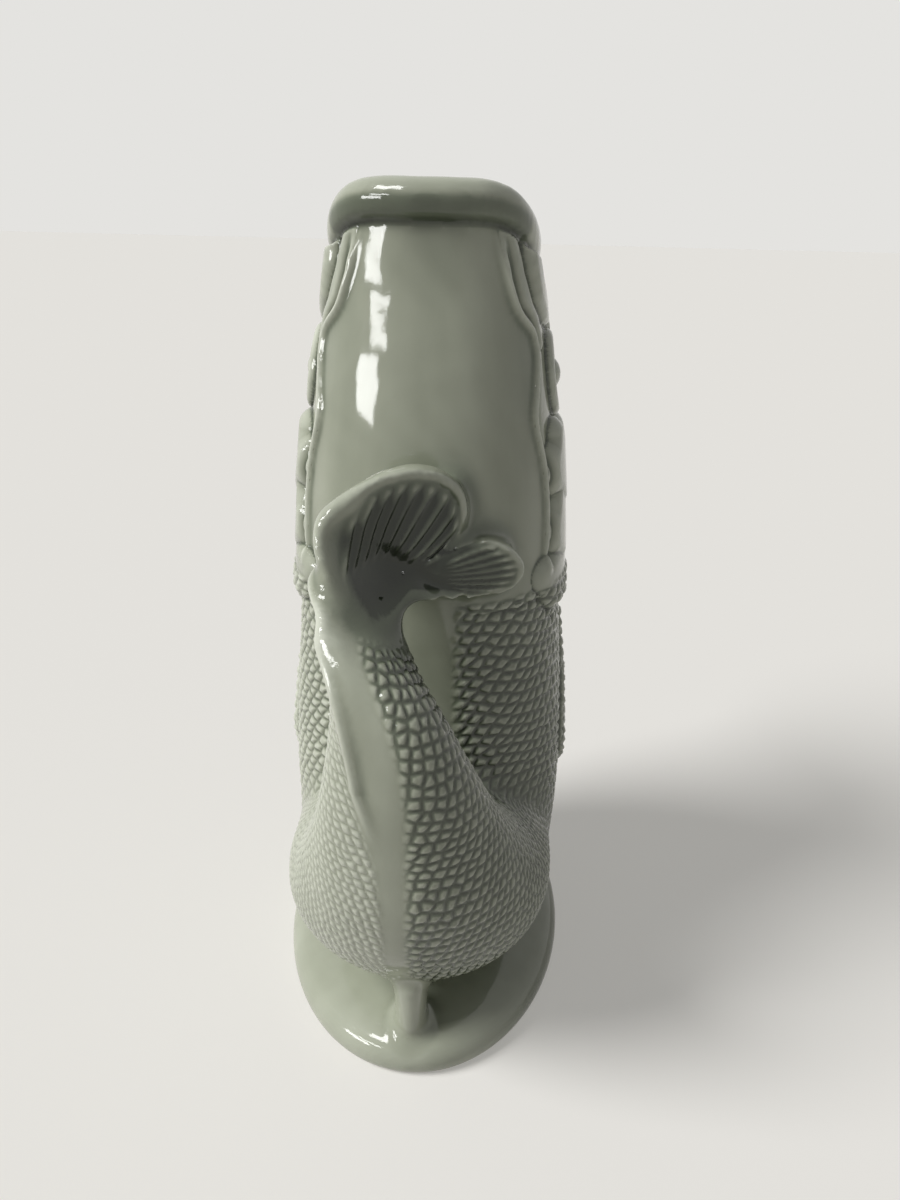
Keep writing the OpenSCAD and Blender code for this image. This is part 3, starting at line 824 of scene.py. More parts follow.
def tail_coordinates(points):
    """Place along the tail, its arc length, and the arc round it from the crest."""
    t = places(TAIL, 241)
    place, run, over_keel, aside, half_w, half_t = tail_frame(t)[:6]
    gone = np.concatenate([[0], np.cumsum(np.linalg.norm(np.diff(place, axis=0), axis=1))])
    nearest = np.zeros(len(points), int)
    for start in range(0, len(points), 20000):
        part = points[start:start + 20000]
        # Distance in the plane of the tail's curl, so that a wide section keeps its row
        d = ((part[:, None, 1:] - place[None, :, 1:]) ** 2).sum(2)
        nearest[start:start + 20000] = d.argmin(1)
    spacing = np.gradient(gone)
    exact = np.clip(nearest, 0, len(t) - 1.001)

    def at(values):
        i = exact.astype(int)
        f = exact - i
        if values.ndim > 1:
            f = f[:, None]
        return values[i] * (1 - f) + values[i + 1] * f

    for _ in range(4):
        off = ((points - at(place)) * at(run)).sum(1)
        exact = np.clip(exact + 0.7 * off / at(spacing), 0, len(t) - 1.001)
    local = points - at(place)
    across = (local * at(aside)).sum(1)
    up = (local * at(over_keel)).sum(1)
    wide, deep = at(half_w), at(half_t)
    angle = np.arctan2(across / wide, up / deep)
    return at(t), at(gone), angle * np.sqrt((wide ** 2 + deep ** 2) / 2)


def turned(u, v, degrees):
    angle = math.radians(degrees)
    return u * math.cos(angle) + v * math.sin(angle), v * math.cos(angle) - u * math.sin(angle)


def scales(kind, u, v):
    """Height of one kind of scales."""
    wide, tall, tilt, seed, rise, overlap = SCALES[kind]
    cell, lean = cells(*turned(u, v, tilt), wide, tall, seed)
    return rise * cell * (1 - overlap * lean)


def scale_relief(points, near):
    """Scales of the body and the tail, the crest of the tail, and the shade painted on the scales."""
    u = body_coordinates(points)
    z = points[:, 2]
    edge = COLLAR * size("height") + 3.2
    body_mask = between(14, 34, edge - 1.5, edge, z)
    body_mask *= np.maximum(smooth_step(8.0, 13.0, u), smooth_step(5, 8, -u))
    t, s, w = tail_coordinates(points)
    line = np.interp(t, TAIL_LINE[:, 0], TAIL_LINE[:, 1])
    bare = np.interp(t, TAIL_LINE[:, 0], TAIL_LINE[:, 2])
    right_mask = smooth_step(0.0, 3.5, w - bare) * (1 - smooth_step(6.4, 7.2, t))
    left_mask = smooth_step(0.8, 3.0, line - w)
    tail_mask = smooth_step(16, 34, z) * (1 - smooth_step(7.6, 8.2, t))
    tail_h = (scales("tail right", w, s) * right_mask + scales("tail left", w, s) * left_mask)
    # Share of the tail where it meets the body, and how much both calm down in the corner
    share = smooth_step(0.38, 0.62, near["body"] / (near["body"] + near["tail"] + 0.2))
    share = np.where(near["tail"] < 14, share, 0)
    calm = 1 - 0.5 * bell(near["body"] - near["tail"], 6) * (near["tail"] < 14)
    height = scales("body", u, z) * body_mask * (1 - share) + tail_h * tail_mask * share
    keel = w - line
    crest = STAND["crest"] * bell(keel, 1.5) + 0.35 * bell(keel, 3.5)
    crest += STAND["brow of the crest"] * smooth_step(5.0, 6.4, t) * bell(keel, 4.6)
    crest *= smooth_step(4.2, 5.2, t) * (1 - smooth_step(7.7, 8.3, t)) * share
    off = smooth_step(0.4, 2.0, near["fan"]) * smooth_step(0.3, 1.5, near["foot"])
    off *= smooth_step(0.3, 1.2, near["prop"]) * smooth_step(0.3, 1.0, near["lip"])
    off *= smooth_step(10, 17, from_crook(points))
    # Painted shade, darker on the right of the back and the tail, and a little lighter on their left
    shaded = 1.15 * smooth_step(-12, 8, u) * smooth_step(110, 50, u) - 0.15
    scales_and_shade = shaded * body_mask * (1 - share) * off
    scales_and_shade += (right_mask - 0.5 * left_mask) * tail_mask * share * off
    return height * calm * off + crest * smooth_step(0.3, 1.5, near["foot"]), scales_and_shade


def ridge_relief(points, near):
    """Ridges of the back, each with a groove beside it."""
    mirrored = points.copy()
    mirrored[:, 0] = np.abs(points[:, 0])
    fine = along(RIDGE, places(RIDGE, 49))
    line = body_point(along(BODY, body_row(fine[:, 1] * size("height"))),
                      np.radians(-90 + fine[:, 0]))
    away, place = to_path(mirrored, line)
    outer = mirrored[:, 0] > np.interp(place, np.arange(len(line)), line[:, 0])
    fade = between(0.0, 8.0, 43, 48, place)
    fade *= smooth_step(0.5, 4.0, near["fan"]) * smooth_step(0.5, 2.0, near["tail"])
    return fade * (STAND["ridge"] * bell(away, 1.15) + 0.4 * bell(away, 3.0)
                   - 1.5 * outer * bell(away - 2.5, 1.1))


def eye_relief(side):
    """Eyeball in its ring of lids, and how far out a point lies: 1 on the ring."""
    rel = side - from_side(EYE_PLACE)
    ball = np.sqrt(np.maximum((size("eye") / 2) ** 2 - (rel ** 2).sum(1), 0)) - LID
    q = np.sqrt((rel[:, 0] / LIDS[0]) ** 2 + (rel[:, 1] / LIDS[1]) ** 2)
    ring = (q - 1) * LIDS.mean()
    lids = LID * np.sqrt(np.maximum(1 - (ring / LID) ** 2, 0))
    return np.maximum(np.maximum(ball, 0), lids) - 0.4 * bell(q - 0.72, 0.1), q


def fin_relief(side):
    """Side fin with its rays, and the distance to its outline."""
    root, rows = fin_segments()
    fin = np.min([to_band(side, row) for row in rows], axis=0)
    rel = side - root
    turn = np.degrees(np.arctan2(-rel[:, 0], -rel[:, 1]))
    rays = STAND["ray"] * np.cos(2 * np.pi * (turn - 2) / (FIN_SPREAD / (FIN_SEGMENTS - 1)))
    rays *= smooth_step(6, 18, np.hypot(rel[:, 0], rel[:, 1]))
    return STAND["side fin"] * plate(fin, 1.6) + rays * smooth_step(0, 2, -fin), fin


def head_relief(points, near):
    """Ridges, jaw bands, eyes, gill covers, side fins and the seam of the head."""
    side, z = points[:, 1:], points[:, 2]
    flank = smooth_step(10, 16, np.abs(points[:, 0]))
    jaw = to_band(side, side_rows(JAW))
    stand = STAND["jaw"] + STAND["jaw at the lip"] * smooth_step(205, 228, z)
    gill = np.zeros(len(points))
    for k, lobe in enumerate(GILLS):
        f = to_band(side, side_rows(lobe))
        gill = np.maximum(gill, STAND["gill"] * (1 - 0.12 * k) * plate(f, 4.4))
    height = ridge_relief(points, near)
    height += flank * (stand * plate(jaw, 3.0) - 0.45 * bell(jaw - 0.5, 0.8))
    height += flank * gill
    eye, q = eye_relief(side)
    height = np.where((q < 1.35) & (flank > 0.5), eye * flank, height)
    fin_height, fin = fin_relief(side)
    height = np.where(fin < 0, flank * fin_height, height)
    fold = to_band(side, side_rows(CHEEK))
    height += flank * np.where(jaw > 0, STAND["fold"], 0) * plate(fold, 2.4) * smooth_step(0, 2, jaw)
    seam = COLLAR * size("height")
    collar = STAND["collar"] * smooth_step(seam - 0.6, seam + 0.3, z)
    collar *= 1 - smooth_step(seam + 3, seam + 12, z)
    collar *= np.maximum(smooth_step(10, 16, points[:, 0]), smooth_step(6, 10, -points[:, 0]))
    return height + collar * smooth_step(0.5, 3, near["tail"]) * np.where(gill > 0, 0, 1)


def rib_lines(ribs):
    """Each rib as a bent line of eight steps through its root, middle and end."""
    lines = []
    for root, middle, end in np.array(ribs):
        f = np.linspace(0, 1, 9)[:, None]
        bend = 2 * middle - (root + end) / 2
        lines.append(root * (1 - f) ** 2 + bend * 2 * f * (1 - f) + end * f ** 2)
    return lines


def fan_relief(points, normals):
    """Curved ribs on the two lobes of the tail fin."""
    flat = points[:, [0, 2]]
    depth, g = fan_face(flat[:, 0], flat[:, 1])
    on = (np.abs(points[:, 1] - depth) < 6) & (normals[:, 1] < 0.1) & (g < 1.25)
    height = np.zeros(len(points))
    at = flat[on]
    for ribs, tall, first, last in LOBES:
        for line in rib_lines(ribs):
            away, place = to_path(at, line)
            f = place / 8
            width = first + (last - first) * f
            rise = tall * smooth_step(0.0, 0.35, f) * bell(away, width)
            height[on] = np.maximum(height[on], rise)
    height *= smooth_step(6, 3, np.abs(points[:, 1] - depth)) * smooth_step(1.04, 0.90, g)
    height *= smooth_step(8, 15, from_crook(points))
    return height * smooth_step(0.25, 0.55, -normals[:, 1])


def hollow_fan(points, near):
    """Clear the hollow of the fin of what the end of the tail leaves in it."""
    depth, g = fan_face(points[:, 0], points[:, 2])
    # Only the front of the hollow, up from the crook to the fin's top edge
    front = (near["fan"] < 20) & (points[:, 1] < depth) & (points[:, 1] > -64)
    front &= (g < 1.0) & (points[:, 2] > 143) & (points[:, 2] < 182)
    weight = np.where(front, (1 - smooth_step(0.8, 1.0, g)) * smooth_step(144, 151, points[:, 2]), 0)
    moved = points.copy()
    moved[:, 1] += (depth - points[:, 1]) * weight
    return moved


def carve_skin(skin):
    """Carve the relief, and note where the glaze pools and where shade is painted."""
    points, normals = points_of(skin), normals_of(skin)
    near = {name: stored(skin, "near_" + name) for name in MEMBERS}
    height, scales_and_shade = scale_relief(points, near)
    # The relief keeps off the lip, and off the clay that closes the mouth until the room is cut
    clear = smooth_step(0.6, 1.8, near["lip"])
    clear *= 1 - smooth_step(0.35, 0.7, np.abs(normals[:, 2])) * smooth_step(212, 220, points[:, 2])
    height += np.where(near["body"] < 3, head_relief(points, near) * clear, 0)
    height += fan_relief(points, normals)
    depth, g = fan_face(points[:, 0], points[:, 2])
    # Glaze pooled in the fin's hollow, with painted shade that darkens it towards the left
    cupped = smooth_step(5, 2, np.abs(points[:, 1] - depth)) * smooth_step(0.1, 0.4, -normals[:, 1])
    pool = cupped * smooth_step(1.0, 0.76, g) * (0.42 + 0.4 * smooth_step(6, -14, points[:, 0]))
    # Painted shade on the shaded scales and round the root of the fin
    pool += 0.22 * scales_and_shade + 0.10 * smooth_step(5, 1, near["fan"])
    # Painted shade in the crook where the tail runs into the fin
    pool += 0.30 * smooth_step(20, 8, np.linalg.norm(points - FAN_CROOK - [4, 0, -6], axis=1))
    # Painted shade under the lip, where the surface faces down, fading out on the jaw band
    shade_under_lip = smooth_step(2.0, 0.6, near["lip"]) * smooth_step(0.45, -0.1, normals[:, 2])
    pool += 0.32 * shade_under_lip * smooth_step(-1.5, 1.5, to_band(points[:, 1:], side_rows(JAW)))
    store(skin, "pool", pool)
    # The smooth clay is never quite even
    x, y, z = points.T
    uneven = np.sin(0.40 * x + 1.6 * np.sin(0.17 * z)) * np.sin(0.27 * z + 0.21 * x + 0.3 * y)
    height += 0.055 * (1 - np.abs(scales_and_shade)) * uneven * smooth_step(20, 40, z)
    set_points(skin, points + normals * height[:, None])
    for name in MEMBERS:
        skin.data.attributes.remove(skin.data.attributes["near_" + name])


def pool_glaze_and_shade(skin):
    """How thick the glaze lies: 1 in a groove, 0 on a ridge, a half on the flat; the painted shade is
    added on top.
    """
    points, normals = points_of(skin), normals_of(skin)
    total = np.zeros(len(points))
    for steps, gain in POOL_STEPS:
        soft = copy_of(skin, "softened")
        apply_modifier(soft, "SMOOTH", factor=0.5, iterations=steps)
        total += gain * ((points_of(soft) - points) * normals).sum(1)
        drop(soft)
    store(skin, "glaze", np.clip(FLAT_LEVEL + total + stored(skin, "pool"), 0, 1))
    skin.data.attributes.remove(skin.data.attributes["pool"])


# Cutting the skin into its pieces

def prism(name, outline, hand):
    """A block with an outline drawn from the side, on the left flank (-1) or the right (1).

    It runs from 12 to 62 mm off the middle."""
    rings = []
    for x in (12, 62):
        rings.append(np.column_stack([np.full(len(outline), hand * x), outline]))
    return loft(name, rings)


def body_core(out):
    """The body's own solid, grown by a distance."""
    return loft("body_core", body_rings(places(BODY, 97), 120, out))


def tail_core(out):
    return loft("tail_core", tail_rings(places(TAIL, 121), 96, out))


def outline_of(distance, middle):
    """Outline of a shape that is seen whole from its middle."""
    r = np.linspace(0, 70.0, 701)
    points = []
    for a in circle(120):
        ray = np.array(middle) + r[:, None] * [math.cos(a), math.sin(a)]
        inside = np.flatnonzero(distance(ray) < 0)
        points.append(ray[inside[-1] if len(inside) else 0])
    return np.array(points)


def band_outline(rows, grow):
    """Outline of a band, grown by a distance."""
    fine = along(rows, places(rows, 41))
    d = np.gradient(fine[:, :2], axis=0)
    d /= np.linalg.norm(d, axis=1, keepdims=True)
    aside = np.stack([-d[:, 1], d[:, 0]], 1) * (fine[:, 2:3] + grow)
    first = fine[0, :2] - d[0] * (fine[0, 2] + grow)
    last = fine[-1, :2] + d[-1] * (fine[-1, 2] + grow)
    return np.vstack([first, fine[:, :2] + aside, last, (fine[:, :2] - aside)[::-1]])


def slab(name, low, high):
    """A block between two corners, in millimetres."""
    bpy.ops.object.select_all(action="DESELECT")
    low, high = np.array(low, float), np.array(high, float)
    bpy.ops.mesh.primitive_cube_add(size=1, location=tuple((low + high) / 2 * MM))
    obj = bpy.context.active_object
    obj.name = name
    obj.scale = tuple((high - low) * MM)
    bpy.ops.object.transform_apply(location=True, rotation=True, scale=True)
    return obj


def split(skin, cutter, name):
    """Take what lies inside the cutter off the skin, as a piece of its own."""
    piece = boolean(copy_of(skin, name), cutter, "INTERSECT")
    cut_away(skin, cutter)
    return piece


# Materials

def add_node(tree, kind, settings=None, **links):
    """Add a node; inputs are set by name, from a value or from an output socket."""
    node = tree.nodes.new(kind)
    for key, value in (settings or {}).items():
        setattr(node, key, value)
    for key, value in links.items():
        socket = node.inputs[int(key[1:])] if key[1:].isdigit() else node.inputs[key.replace("_", " ")]
        if isinstance(value, bpy.types.NodeSocket):
            tree.links.new(value, socket)
        else:
            socket.default_value = value
    return node


def new_material(name):
    """An empty material and its node tree."""
    material = bpy.data.materials.new(name)
    material.use_nodes = True
    material.node_tree.nodes.clear()
    return material, material.node_tree


def set_stops(ramp, stops):
    """Put the colours of a ramp at their places."""
    while len(ramp.elements) > 1:
        ramp.elements.remove(ramp.elements[-1])
    ramp.elements[0].position, ramp.elements[0].color = stops[0]
    for place, tint in stops[1:]:
        ramp.elements.new(place).color = tint


def celadon_glaze():
    """Celadon-glazed earthenware: glossy, paler where it runs thin, green where it pools, and darker
    where shade is painted.
    """
    material, tree = new_material("celadon_glazed_earthenware")
    place = add_node(tree, "ShaderNodeTexCoord").outputs["Object"]
    pooled = add_node(tree, "ShaderNodeAttribute", {"attribute_name": "glaze"}).outputs["Fac"]
    # Clouds 36 mm across, streaks 14 mm wide and 140 mm long, and specks 1 mm across
    cloud = add_node(tree, "ShaderNodeTexNoise", None, Vector=place, Scale=28.0, Detail=3.0)
    shift = add_node(tree, "ShaderNodeMath", {"operation": "MULTIPLY_ADD"},
                     _0=cloud.outputs["Fac"], _1=0.16, _2=-0.16)
    drawn = add_node(tree, "ShaderNodeMapping", None, Vector=place, Scale=(70.0, 70.0, 7.0))
    run = add_node(tree, "ShaderNodeTexNoise", None, Vector=drawn.outputs[0], Scale=1.0, Detail=2.0)
    streak = add_node(tree, "ShaderNodeMath", {"operation": "MULTIPLY_ADD"},
                      _0=run.outputs["Fac"], _1=0.16, _2=shift.outputs[0])
    level = add_node(tree, "ShaderNodeMath", {"operation": "ADD"}, _0=pooled,
                     _1=streak.outputs[0])
    glaze = bpy.context.scene.jug_glaze
    tint = add_node(tree, "ShaderNodeValToRGB", None, Fac=level.outputs[0])
    # The thick and pooled stops also colour the painted shade that the glaze level carries
    set_stops(tint.color_ramp, [(0.0, glaze.edge), (0.3, glaze.thin), (0.45, glaze.plain),
                                (0.62, glaze.thick), (1.0, glaze.pooled)])
    speck = add_node(tree, "ShaderNodeTexNoise", None, Vector=place, Scale=900.0, Detail=2.0)
    bump = add_node(tree, "ShaderNodeBump", None, Strength=0.03, Distance=0.0004,
                    Height=speck.outputs["Fac"])
    shader = add_node(tree, "ShaderNodeBsdfPrincipled", None, Base_Color=tint.outputs["Color"],
                      Roughness=0.09, IOR=1.5, Normal=bump.outputs["Normal"])
    add_node(tree, "ShaderNodeOutputMaterial", None, Surface=shader.outputs["BSDF"])
    return material


def bare_clay():
    """Bare fired earthenware on the ring that it stands on: dry and slightly sandy."""
    material, tree = new_material("bare_fired_earthenware")
    place = add_node(tree, "ShaderNodeTexCoord").outputs["Object"]
    # Grains 0.6 mm across, coarser than real ones so that they show
    grit = add_node(tree, "ShaderNodeTexNoise", None, Vector=place, Scale=1600.0, Detail=4.0)
    glaze = bpy.context.scene.jug_glaze
    tint = add_node(tree, "ShaderNodeValToRGB", None, Fac=grit.outputs["Fac"])
    set_stops(tint.color_ramp, [(0.3, glaze.clay_dark), (0.7, glaze.clay_light)])
    bump = add_node(tree, "ShaderNodeBump", None, Strength=0.25, Distance=0.0003,
                    Height=grit.outputs["Fac"])
    shader = add_node(tree, "ShaderNodeBsdfPrincipled", None, Base_Color=tint.outputs["Color"],
                      Roughness=0.85, Normal=bump.outputs["Normal"])
    add_node(tree, "ShaderNodeOutputMaterial", None, Surface=shader.outputs["BSDF"])
    return material


# Finishing the pieces

# What the steps hand on: the materials, the skin, and the points, glaze with its painted shade, and
# normals of the skin
made = {}


def finish_piece(obj, *nodes):
    """Dress a finished piece, ride it on the jug and let it stand for its CAD nodes."""
    only(obj)
    obj.data.calc_loop_triangles()
    triangles = len(obj.data.loop_triangles)
    if triangles > MOST_TRIANGLES:
        apply_modifier(obj, "DECIMATE", ratio=MOST_TRIANGLES / triangles)
    obj.data.materials.clear()
    obj.data.materials.append(made["materials"][0])
    store_glaze(obj)
    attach(obj, "root")
    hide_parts(*nodes)


def take_piece(node, cutter):
    """Take a node's piece off the skin and finish it."""
    finish_piece(split(made["skin"], cutter, node + "_glazed"), node)


def store_glaze(obj):
    """Give each point the glaze, with its painted shade, and the normal of the nearest point of the
    whole skin.

    So the glaze runs on over the seams between the pieces."""
    tree, values, normals = made["glaze"]
    points = read(obj.data.vertices, "co", 3)
    found = np.empty(len(points), int)
    away = np.empty(len(points))
    for i, p in enumerate(points):
        hit = tree.find(p)
        found[i] = hit[1]
        away[i] = hit[2]
    # What lies off the skin is a cut or the inner wall, and gets plain glaze and its own normal
    on_skin = away < 0.7 * MM
    store(obj, "glaze", np.where(on_skin, values[found], FLAT_LEVEL))
    own = normals_of(obj)
    obj.data.shade_smooth()
    turned = np.where((away < 0.25 * MM)[:, None], normals[found], own)
    obj.data.normals_split_custom_set_from_vertices(turned.tolist())


# Operators

class JUG_OT_skin(bpy.types.Operator):
    """Fuse the members into one skin and carve its relief"""
    bl_idname = "jug.skin"
    bl_label = "Clay skin"

    def execute(self, context):
        made["materials"] = (celadon_glaze(), bare_clay())
        skin = make_skin()
        carve_skin(skin)
        pool_glaze_and_shade(skin)
        points = read(skin.data.vertices, "co", 3)
        tree = KDTree(len(points))
        for i, p in enumerate(points):
            tree.insert(p, i)
        tree.balance()
        made["glaze"] = (tree, stored(skin, "glaze"), normals_of(skin))
        skin.data.attributes.remove(skin.data.attributes["glaze"])
        made["skin"] = skin
        cut_away(skin, make_room())
        return {"FINISHED"}


def make_room():
    """The room inside the jug, open through the mouth."""
    low = body_row(BODY[0][0] * seat_height() + size("wall"))
    t = np.linspace(low, len(BODY) - 1, 70)
    rings = body_rings(t, 96, -size("wall"))
    # It runs on through the clay that closes the mouth
    top = body_rings(t[-1:], 96, -size("wall") + 0.2) + [0, 0, 0.35 * size("lip_height") + 1.2]
    return loft("room", np.concatenate([rings, top]))


class JUG_OT_lip(bpy.types.Operator):
    """Take the rolled lip off the skin"""
    bl_idname = "jug.lip"
    bl_label = "Mouth lip"

    def execute(self, context):
        out, back, top = size("lip_out") + 4, -size("wall") - 4, size("lip_height") + 4
        section = [(0, 0.0), (out, 0.0), (out, top), (back, top), (back, 0.0)]
        cutter = swept_ring("lip_cutter", rim_rings(section, 200))
        take_piece("mouth_lip", cutter)
        return {"FINISHED"}


class JUG_OT_flank_pieces(bpy.types.Operator):
    """Take the eyes, jaw bands, gill covers and side fins off the skin"""
    bl_idname = "jug.flank_pieces"
    bl_label = "Eyes, jaws, gill covers and side fins"

    def execute(self, context):
        # The cuts go 1 mm into the clay, and no deeper above the rim
        rings = body_rings(places(BODY, 97), 120, -1.0)
        inner = loft("inner", np.concatenate([rings, rings[-1:] + [0, 0, 9.0]]))
        eye = from_side(EYE_PLACE) + oval(LIDS[0] + 2.4, LIDS[1] + 2.4, 0, 72)[:, :2]

        def gill_distance(p):
            return np.min([to_band(p, side_rows(lobe)) for lobe in GILLS], axis=0) - 0.3

        root, rows = fin_segments()

        def fin_distance(p):
            return np.min([to_band(p, row) for row in rows], axis=0) - 0.2

        plans = [("eye", eye),
                 ("upper_jaw", band_outline(side_rows(JAW), 0.4)),
                 ("gill_cover", outline_of(gill_distance, (1.0, 158.0))),
                 ("pectoral_fin", outline_of(fin_distance, root - [0, 20]))]
        # Two rounds, because the jaw bands touch the eyes
        for batch in ((plans[0], plans[2], plans[3]), (plans[1],)):
            cutters = []
            homes = []
            for name, outline in batch:
                for side, hand in (("left", -1), ("right", 1)):
                    cutters.append(prism(name + "_cutter", outline, hand))
                    homes.append((name + "_" + side, hand, *outline.mean(0)))
            whole = join(cutters)
            boolean(whole, inner, "DIFFERENCE")
            only(split(made["skin"], whole, "flank"))
            bpy.ops.mesh.separate(type="LOOSE")
            parts = {}
            for part in list(bpy.context.selected_objects):
                points = points_of(part)
                middle = (points.min(0) + points.max(0)) / 2
                # Crumbs of the cut
                if len(points) < 12:
                    drop(part)
                    continue
                gaps = [abs(middle[1] - y) + abs(middle[2] - z) + 500 * (hand * middle[0] <= 0)
                        for _, hand, y, z in homes]
                parts.setdefault(homes[int(np.argmin(gaps))][0], []).append(part)
            for node, found in parts.items():
                piece = join(found)
                piece.name = node + "_glazed"
                finish_piece(piece, node)
        drop(inner)
        return {"FINISHED"}


class JUG_OT_tail_fin(bpy.types.Operator):
    """Take the tail fin off the skin"""
    bl_idname = "jug.tail_fin"
    bl_label = "Tail fin"

    def execute(self, context):
        # A slab that leans back as the fin does
        cutter = slab("fin_cutter", (-45, -90, 0), (45, -10, 60))
        turn = Matrix.Rotation(math.radians(-35), 4, "X")
        cutter.data.transform(Matrix.Translation((0, -0.052, 0.151)) @ turn
                              @ Matrix.Translation((0, 0.05, 0)))
        cut_away(cutter, body_core(0.9))
        take_piece("tail_fan", cutter)
        return {"FINISHED"}


class JUG_OT_foot(bpy.types.Operator):
    """Take the foot and its prop off the skin"""
    bl_idname = "jug.foot"
    bl_label = "Foot and prop"

    def execute(self, context):
        dome = loft("dome", foot_rings(0.8))
        cut_away(dome, body_core(0.3))
        tail = tail_core(0.4)
        boolean(dome, tail, "DIFFERENCE")
        foot = split(made["skin"], dome, "foot_glazed")
        wide, long = size("foot_width") / 2 - size("ring"), size("foot_length") / 2 - size("ring")
        rings = []
        for z, grow in ((-2, 0.8), (0, 0.8), (size("recess") - 0.8, 0), (size("recess"), -0.8)):
            rings.append(oval(wide + grow, long + grow, z, 120))
        cut_away(foot, loft("hollow", rings))
        finish_piece(foot, "foot")
        # The glaze is wiped off the ring that touches the table
        foot.data.materials.append(made["materials"][1])
        bare = read(foot.data.polygons, "center", 3)[:, 2] / MM < 0.35
        foot.data.polygons.foreach_set("material_index", bare.astype(np.int32))
        cutter = slab("prop_cutter", (-9, -71, 8), (9, -47, 45))
        cut_away(cutter, tail)
        take_piece("tail_prop", cutter)
        return {"FINISHED"}


class JUG_OT_tail(bpy.types.Operator):
    """Take the tail off the skin"""
    bl_idname = "jug.tail"
    bl_label = "Tail handle"

    def execute(self, context):
        cutter = tail_core(9.0)
        cut_away(cutter, body_core(0.8))
        take_piece("tail_handle", cutter)
        return {"FINISHED"}


class JUG_OT_shell(bpy.types.Operator):
    """Part what is left of the skin into belly, body and head"""
    bl_idname = "jug.shell"
    bl_label = "Belly, body and head"

    def execute(self, context):
        for node, low, seam in (("belly", -5, BELLY), ("body", 0, COLLAR)):
            cutter = slab(node + "_cutter", (-90, -90, low), (90, 90, seam * size("height")))
            take_piece(node, cutter)
        made["skin"].name = "head_glazed"
        finish_piece(made["skin"], "head")
        return {"FINISHED"}


def add_camera(scene):
    """The camera that the photo was solved to."""
    pitch, roll, yaw = [math.radians(v) for v in (CAMERA_DOWN, CAMERA_ROLL, CAMERA_TURN)]
    forward = Vector((-math.sin(yaw), math.cos(yaw), 0))
    right = Vector((math.cos(yaw), math.sin(yaw), 0))
    up = Vector((0, 0, 1))
    place = forward * -CAMERA_BEHIND + right * CAMERA_ASIDE + up * CAMERA_UP
    look = forward * math.cos(pitch) - up * math.sin(pitch)
    down = -forward * math.sin(pitch) - up * math.cos(pitch)
    x = right * math.cos(roll) + down * math.sin(roll)
    y = -(down * math.cos(roll) - right * math.sin(roll))
    data = bpy.data.cameras.new("camera")
    data.sensor_fit = "VERTICAL"
    data.sensor_height = FRAME
    data.lens = LENS
    data.clip_start = 0.01
    camera = bpy.data.objects.new("camera", data)
    scene.collection.objects.link(camera)
    turn = Matrix((x, y, -look)).transposed().to_4x4()
    camera.matrix_world = Matrix.Translation(place * MM) @ turn
    scene.camera = camera


def seen_by(tree, *rays):
    """1 for rays of these kinds and 0 for the others."""
    path = add_node(tree, "ShaderNodeLightPath")
    seen = path.outputs[rays[0]]
    for ray in rays[1:]:
        seen = add_node(tree, "ShaderNodeMath", {"operation": "MAXIMUM"}, _0=seen,
                        _1=path.outputs[ray]).outputs[0]
    return seen


def add_floor(colours):
    """A matt pale floor, which keeps the jug's shadow."""
    bpy.ops.object.select_all(action="DESELECT")
    bpy.ops.mesh.primitive_plane_add(size=8, location=(0, 0, 0))
    floor = bpy.context.active_object
    floor.name = "floor"
    material, tree = new_material("pale_floor")
    shader = add_node(tree, "ShaderNodeBsdfDiffuse", None, Color=colours.floor)
    lift = add_node(tree, "ShaderNodeMath", {"operation": "MULTIPLY"},
                    _0=seen_by(tree, "Is Camera Ray", "Is Glossy Ray"), _1=FLOOR_GLOW)
    pale = add_node(tree, "ShaderNodeEmission", None, Color=linear("E2E0DB"),
                    Strength=lift.outputs[0])
    both = add_node(tree, "ShaderNodeAddShader", None, _0=shader.outputs[0], _1=pale.outputs[0])
    add_node(tree, "ShaderNodeOutputMaterial", None, Surface=both.outputs[0])
    floor.data.materials.append(material)


def add_room(scene, colours):
    """A room that looks pale but lights little."""
    scene.world = bpy.data.worlds.new("studio")
    scene.world.use_nodes = True
    tree = scene.world.node_tree
    tree.nodes.clear()
    dim = add_node(tree, "ShaderNodeBackground", None, Color=linear("E9EAEA"), Strength=ROOM_GLOW)
    plain = add_node(tree, "ShaderNodeBackground", None, Color=colours.backdrop, Strength=1.0)
    seen = seen_by(tree, "Is Camera Ray", "Is Glossy Ray", "Is Transmission Ray")
    mix = add_node(tree, "ShaderNodeMixShader", None, _0=seen, _1=dim.outputs[0],
                   _2=plain.outputs[0])
    add_node(tree, "ShaderNodeOutputWorld", None, Surface=mix.outputs[0])


def add_light(data, aim):
    """A light that shines along a direction."""
    obj = bpy.data.objects.new(data.name, data)
    bpy.context.scene.collection.objects.link(obj)
    obj.rotation_euler = aim.to_track_quat("-Z", "Y").to_euler()
    return obj


def add_pane(name, place, wide, tall):
    """A window pane that shows in the glaze and lights nothing else."""
    data = bpy.data.lights.new(name, "AREA")
    data.energy = 50 * wide * tall
    data.shape = "RECTANGLE"
    data.size = wide
    data.size_y = tall
    pane = add_light(data, Vector((0, 0, 0.15)) - Vector(place))
    pane.location = place
    pane.visible_diffuse = False


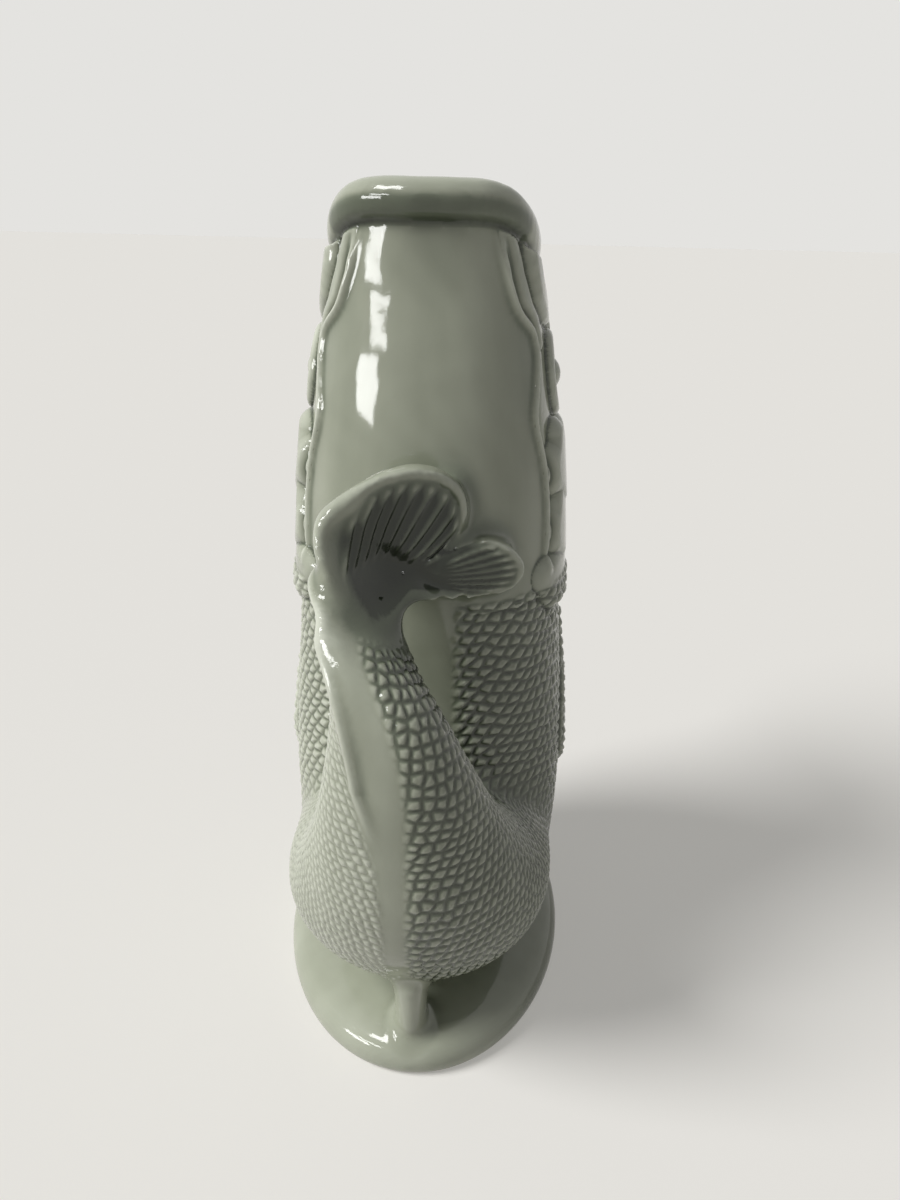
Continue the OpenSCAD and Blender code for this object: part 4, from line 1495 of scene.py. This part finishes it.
def add_daylight():
    """Soft light from the left, from behind and above."""
    data = bpy.data.lights.new("daylight", "SUN")
    data.energy = DAYLIGHT
    data.angle = math.radians(DAYLIGHT_SPREAD)
    add_light(data, Vector((1.0, 0.30, -1.0))).visible_glossy = False


class JUG_OT_stage(bpy.types.Operator):
    """Camera, pale floor and soft studio light"""
    bl_idname = "jug.stage"
    bl_label = "Stage"

    def execute(self, context):
        scene = context.scene
        add_camera(scene)
        add_floor(scene.jug_glaze)
        add_room(scene, scene.jug_glaze)
        for name, (place, wide, tall) in PANES.items():
            add_pane(name, place, wide, tall)
        add_daylight()
        scene.view_settings.view_transform = "Standard"
        return {"FINISHED"}


class JUG_PT_panel(bpy.types.Panel):
    """Steps that model the jug"""
    bl_label = "Gurgle jug"
    bl_space_type = "VIEW_3D"
    bl_region_type = "UI"
    bl_category = "Jug"

    def draw(self, context):
        for group in (context.scene.jug_sizes, context.scene.jug_glaze):
            for name in group.__annotations__:
                self.layout.prop(group, name)
        for step in STEPS:
            self.layout.operator(step)


STEPS = ("jug.skin", "jug.lip", "jug.flank_pieces", "jug.tail_fin", "jug.foot", "jug.tail",
         "jug.shell", "jug.stage")
CLASSES = (JugSizes, JugGlaze, JUG_OT_skin, JUG_OT_lip, JUG_OT_flank_pieces, JUG_OT_tail_fin,
           JUG_OT_foot, JUG_OT_tail, JUG_OT_shell, JUG_OT_stage, JUG_PT_panel)


def register():
    for cls in CLASSES:
        bpy.utils.register_class(cls)
    bpy.types.Scene.jug_sizes = PointerProperty(type=JugSizes)
    bpy.types.Scene.jug_glaze = PointerProperty(type=JugGlaze)


def unregister():
    del bpy.types.Scene.jug_glaze
    del bpy.types.Scene.jug_sizes
    for cls in reversed(CLASSES):
        bpy.utils.unregister_class(cls)


def main():
    register()
    for name in ("Cube", "Light", "Camera"):
        if name in bpy.data.objects:
            drop(bpy.data.objects[name])
    for step in STEPS:
        getattr(bpy.ops.jug, step.split(".")[1])()


if __name__ == "__main__":
    main()
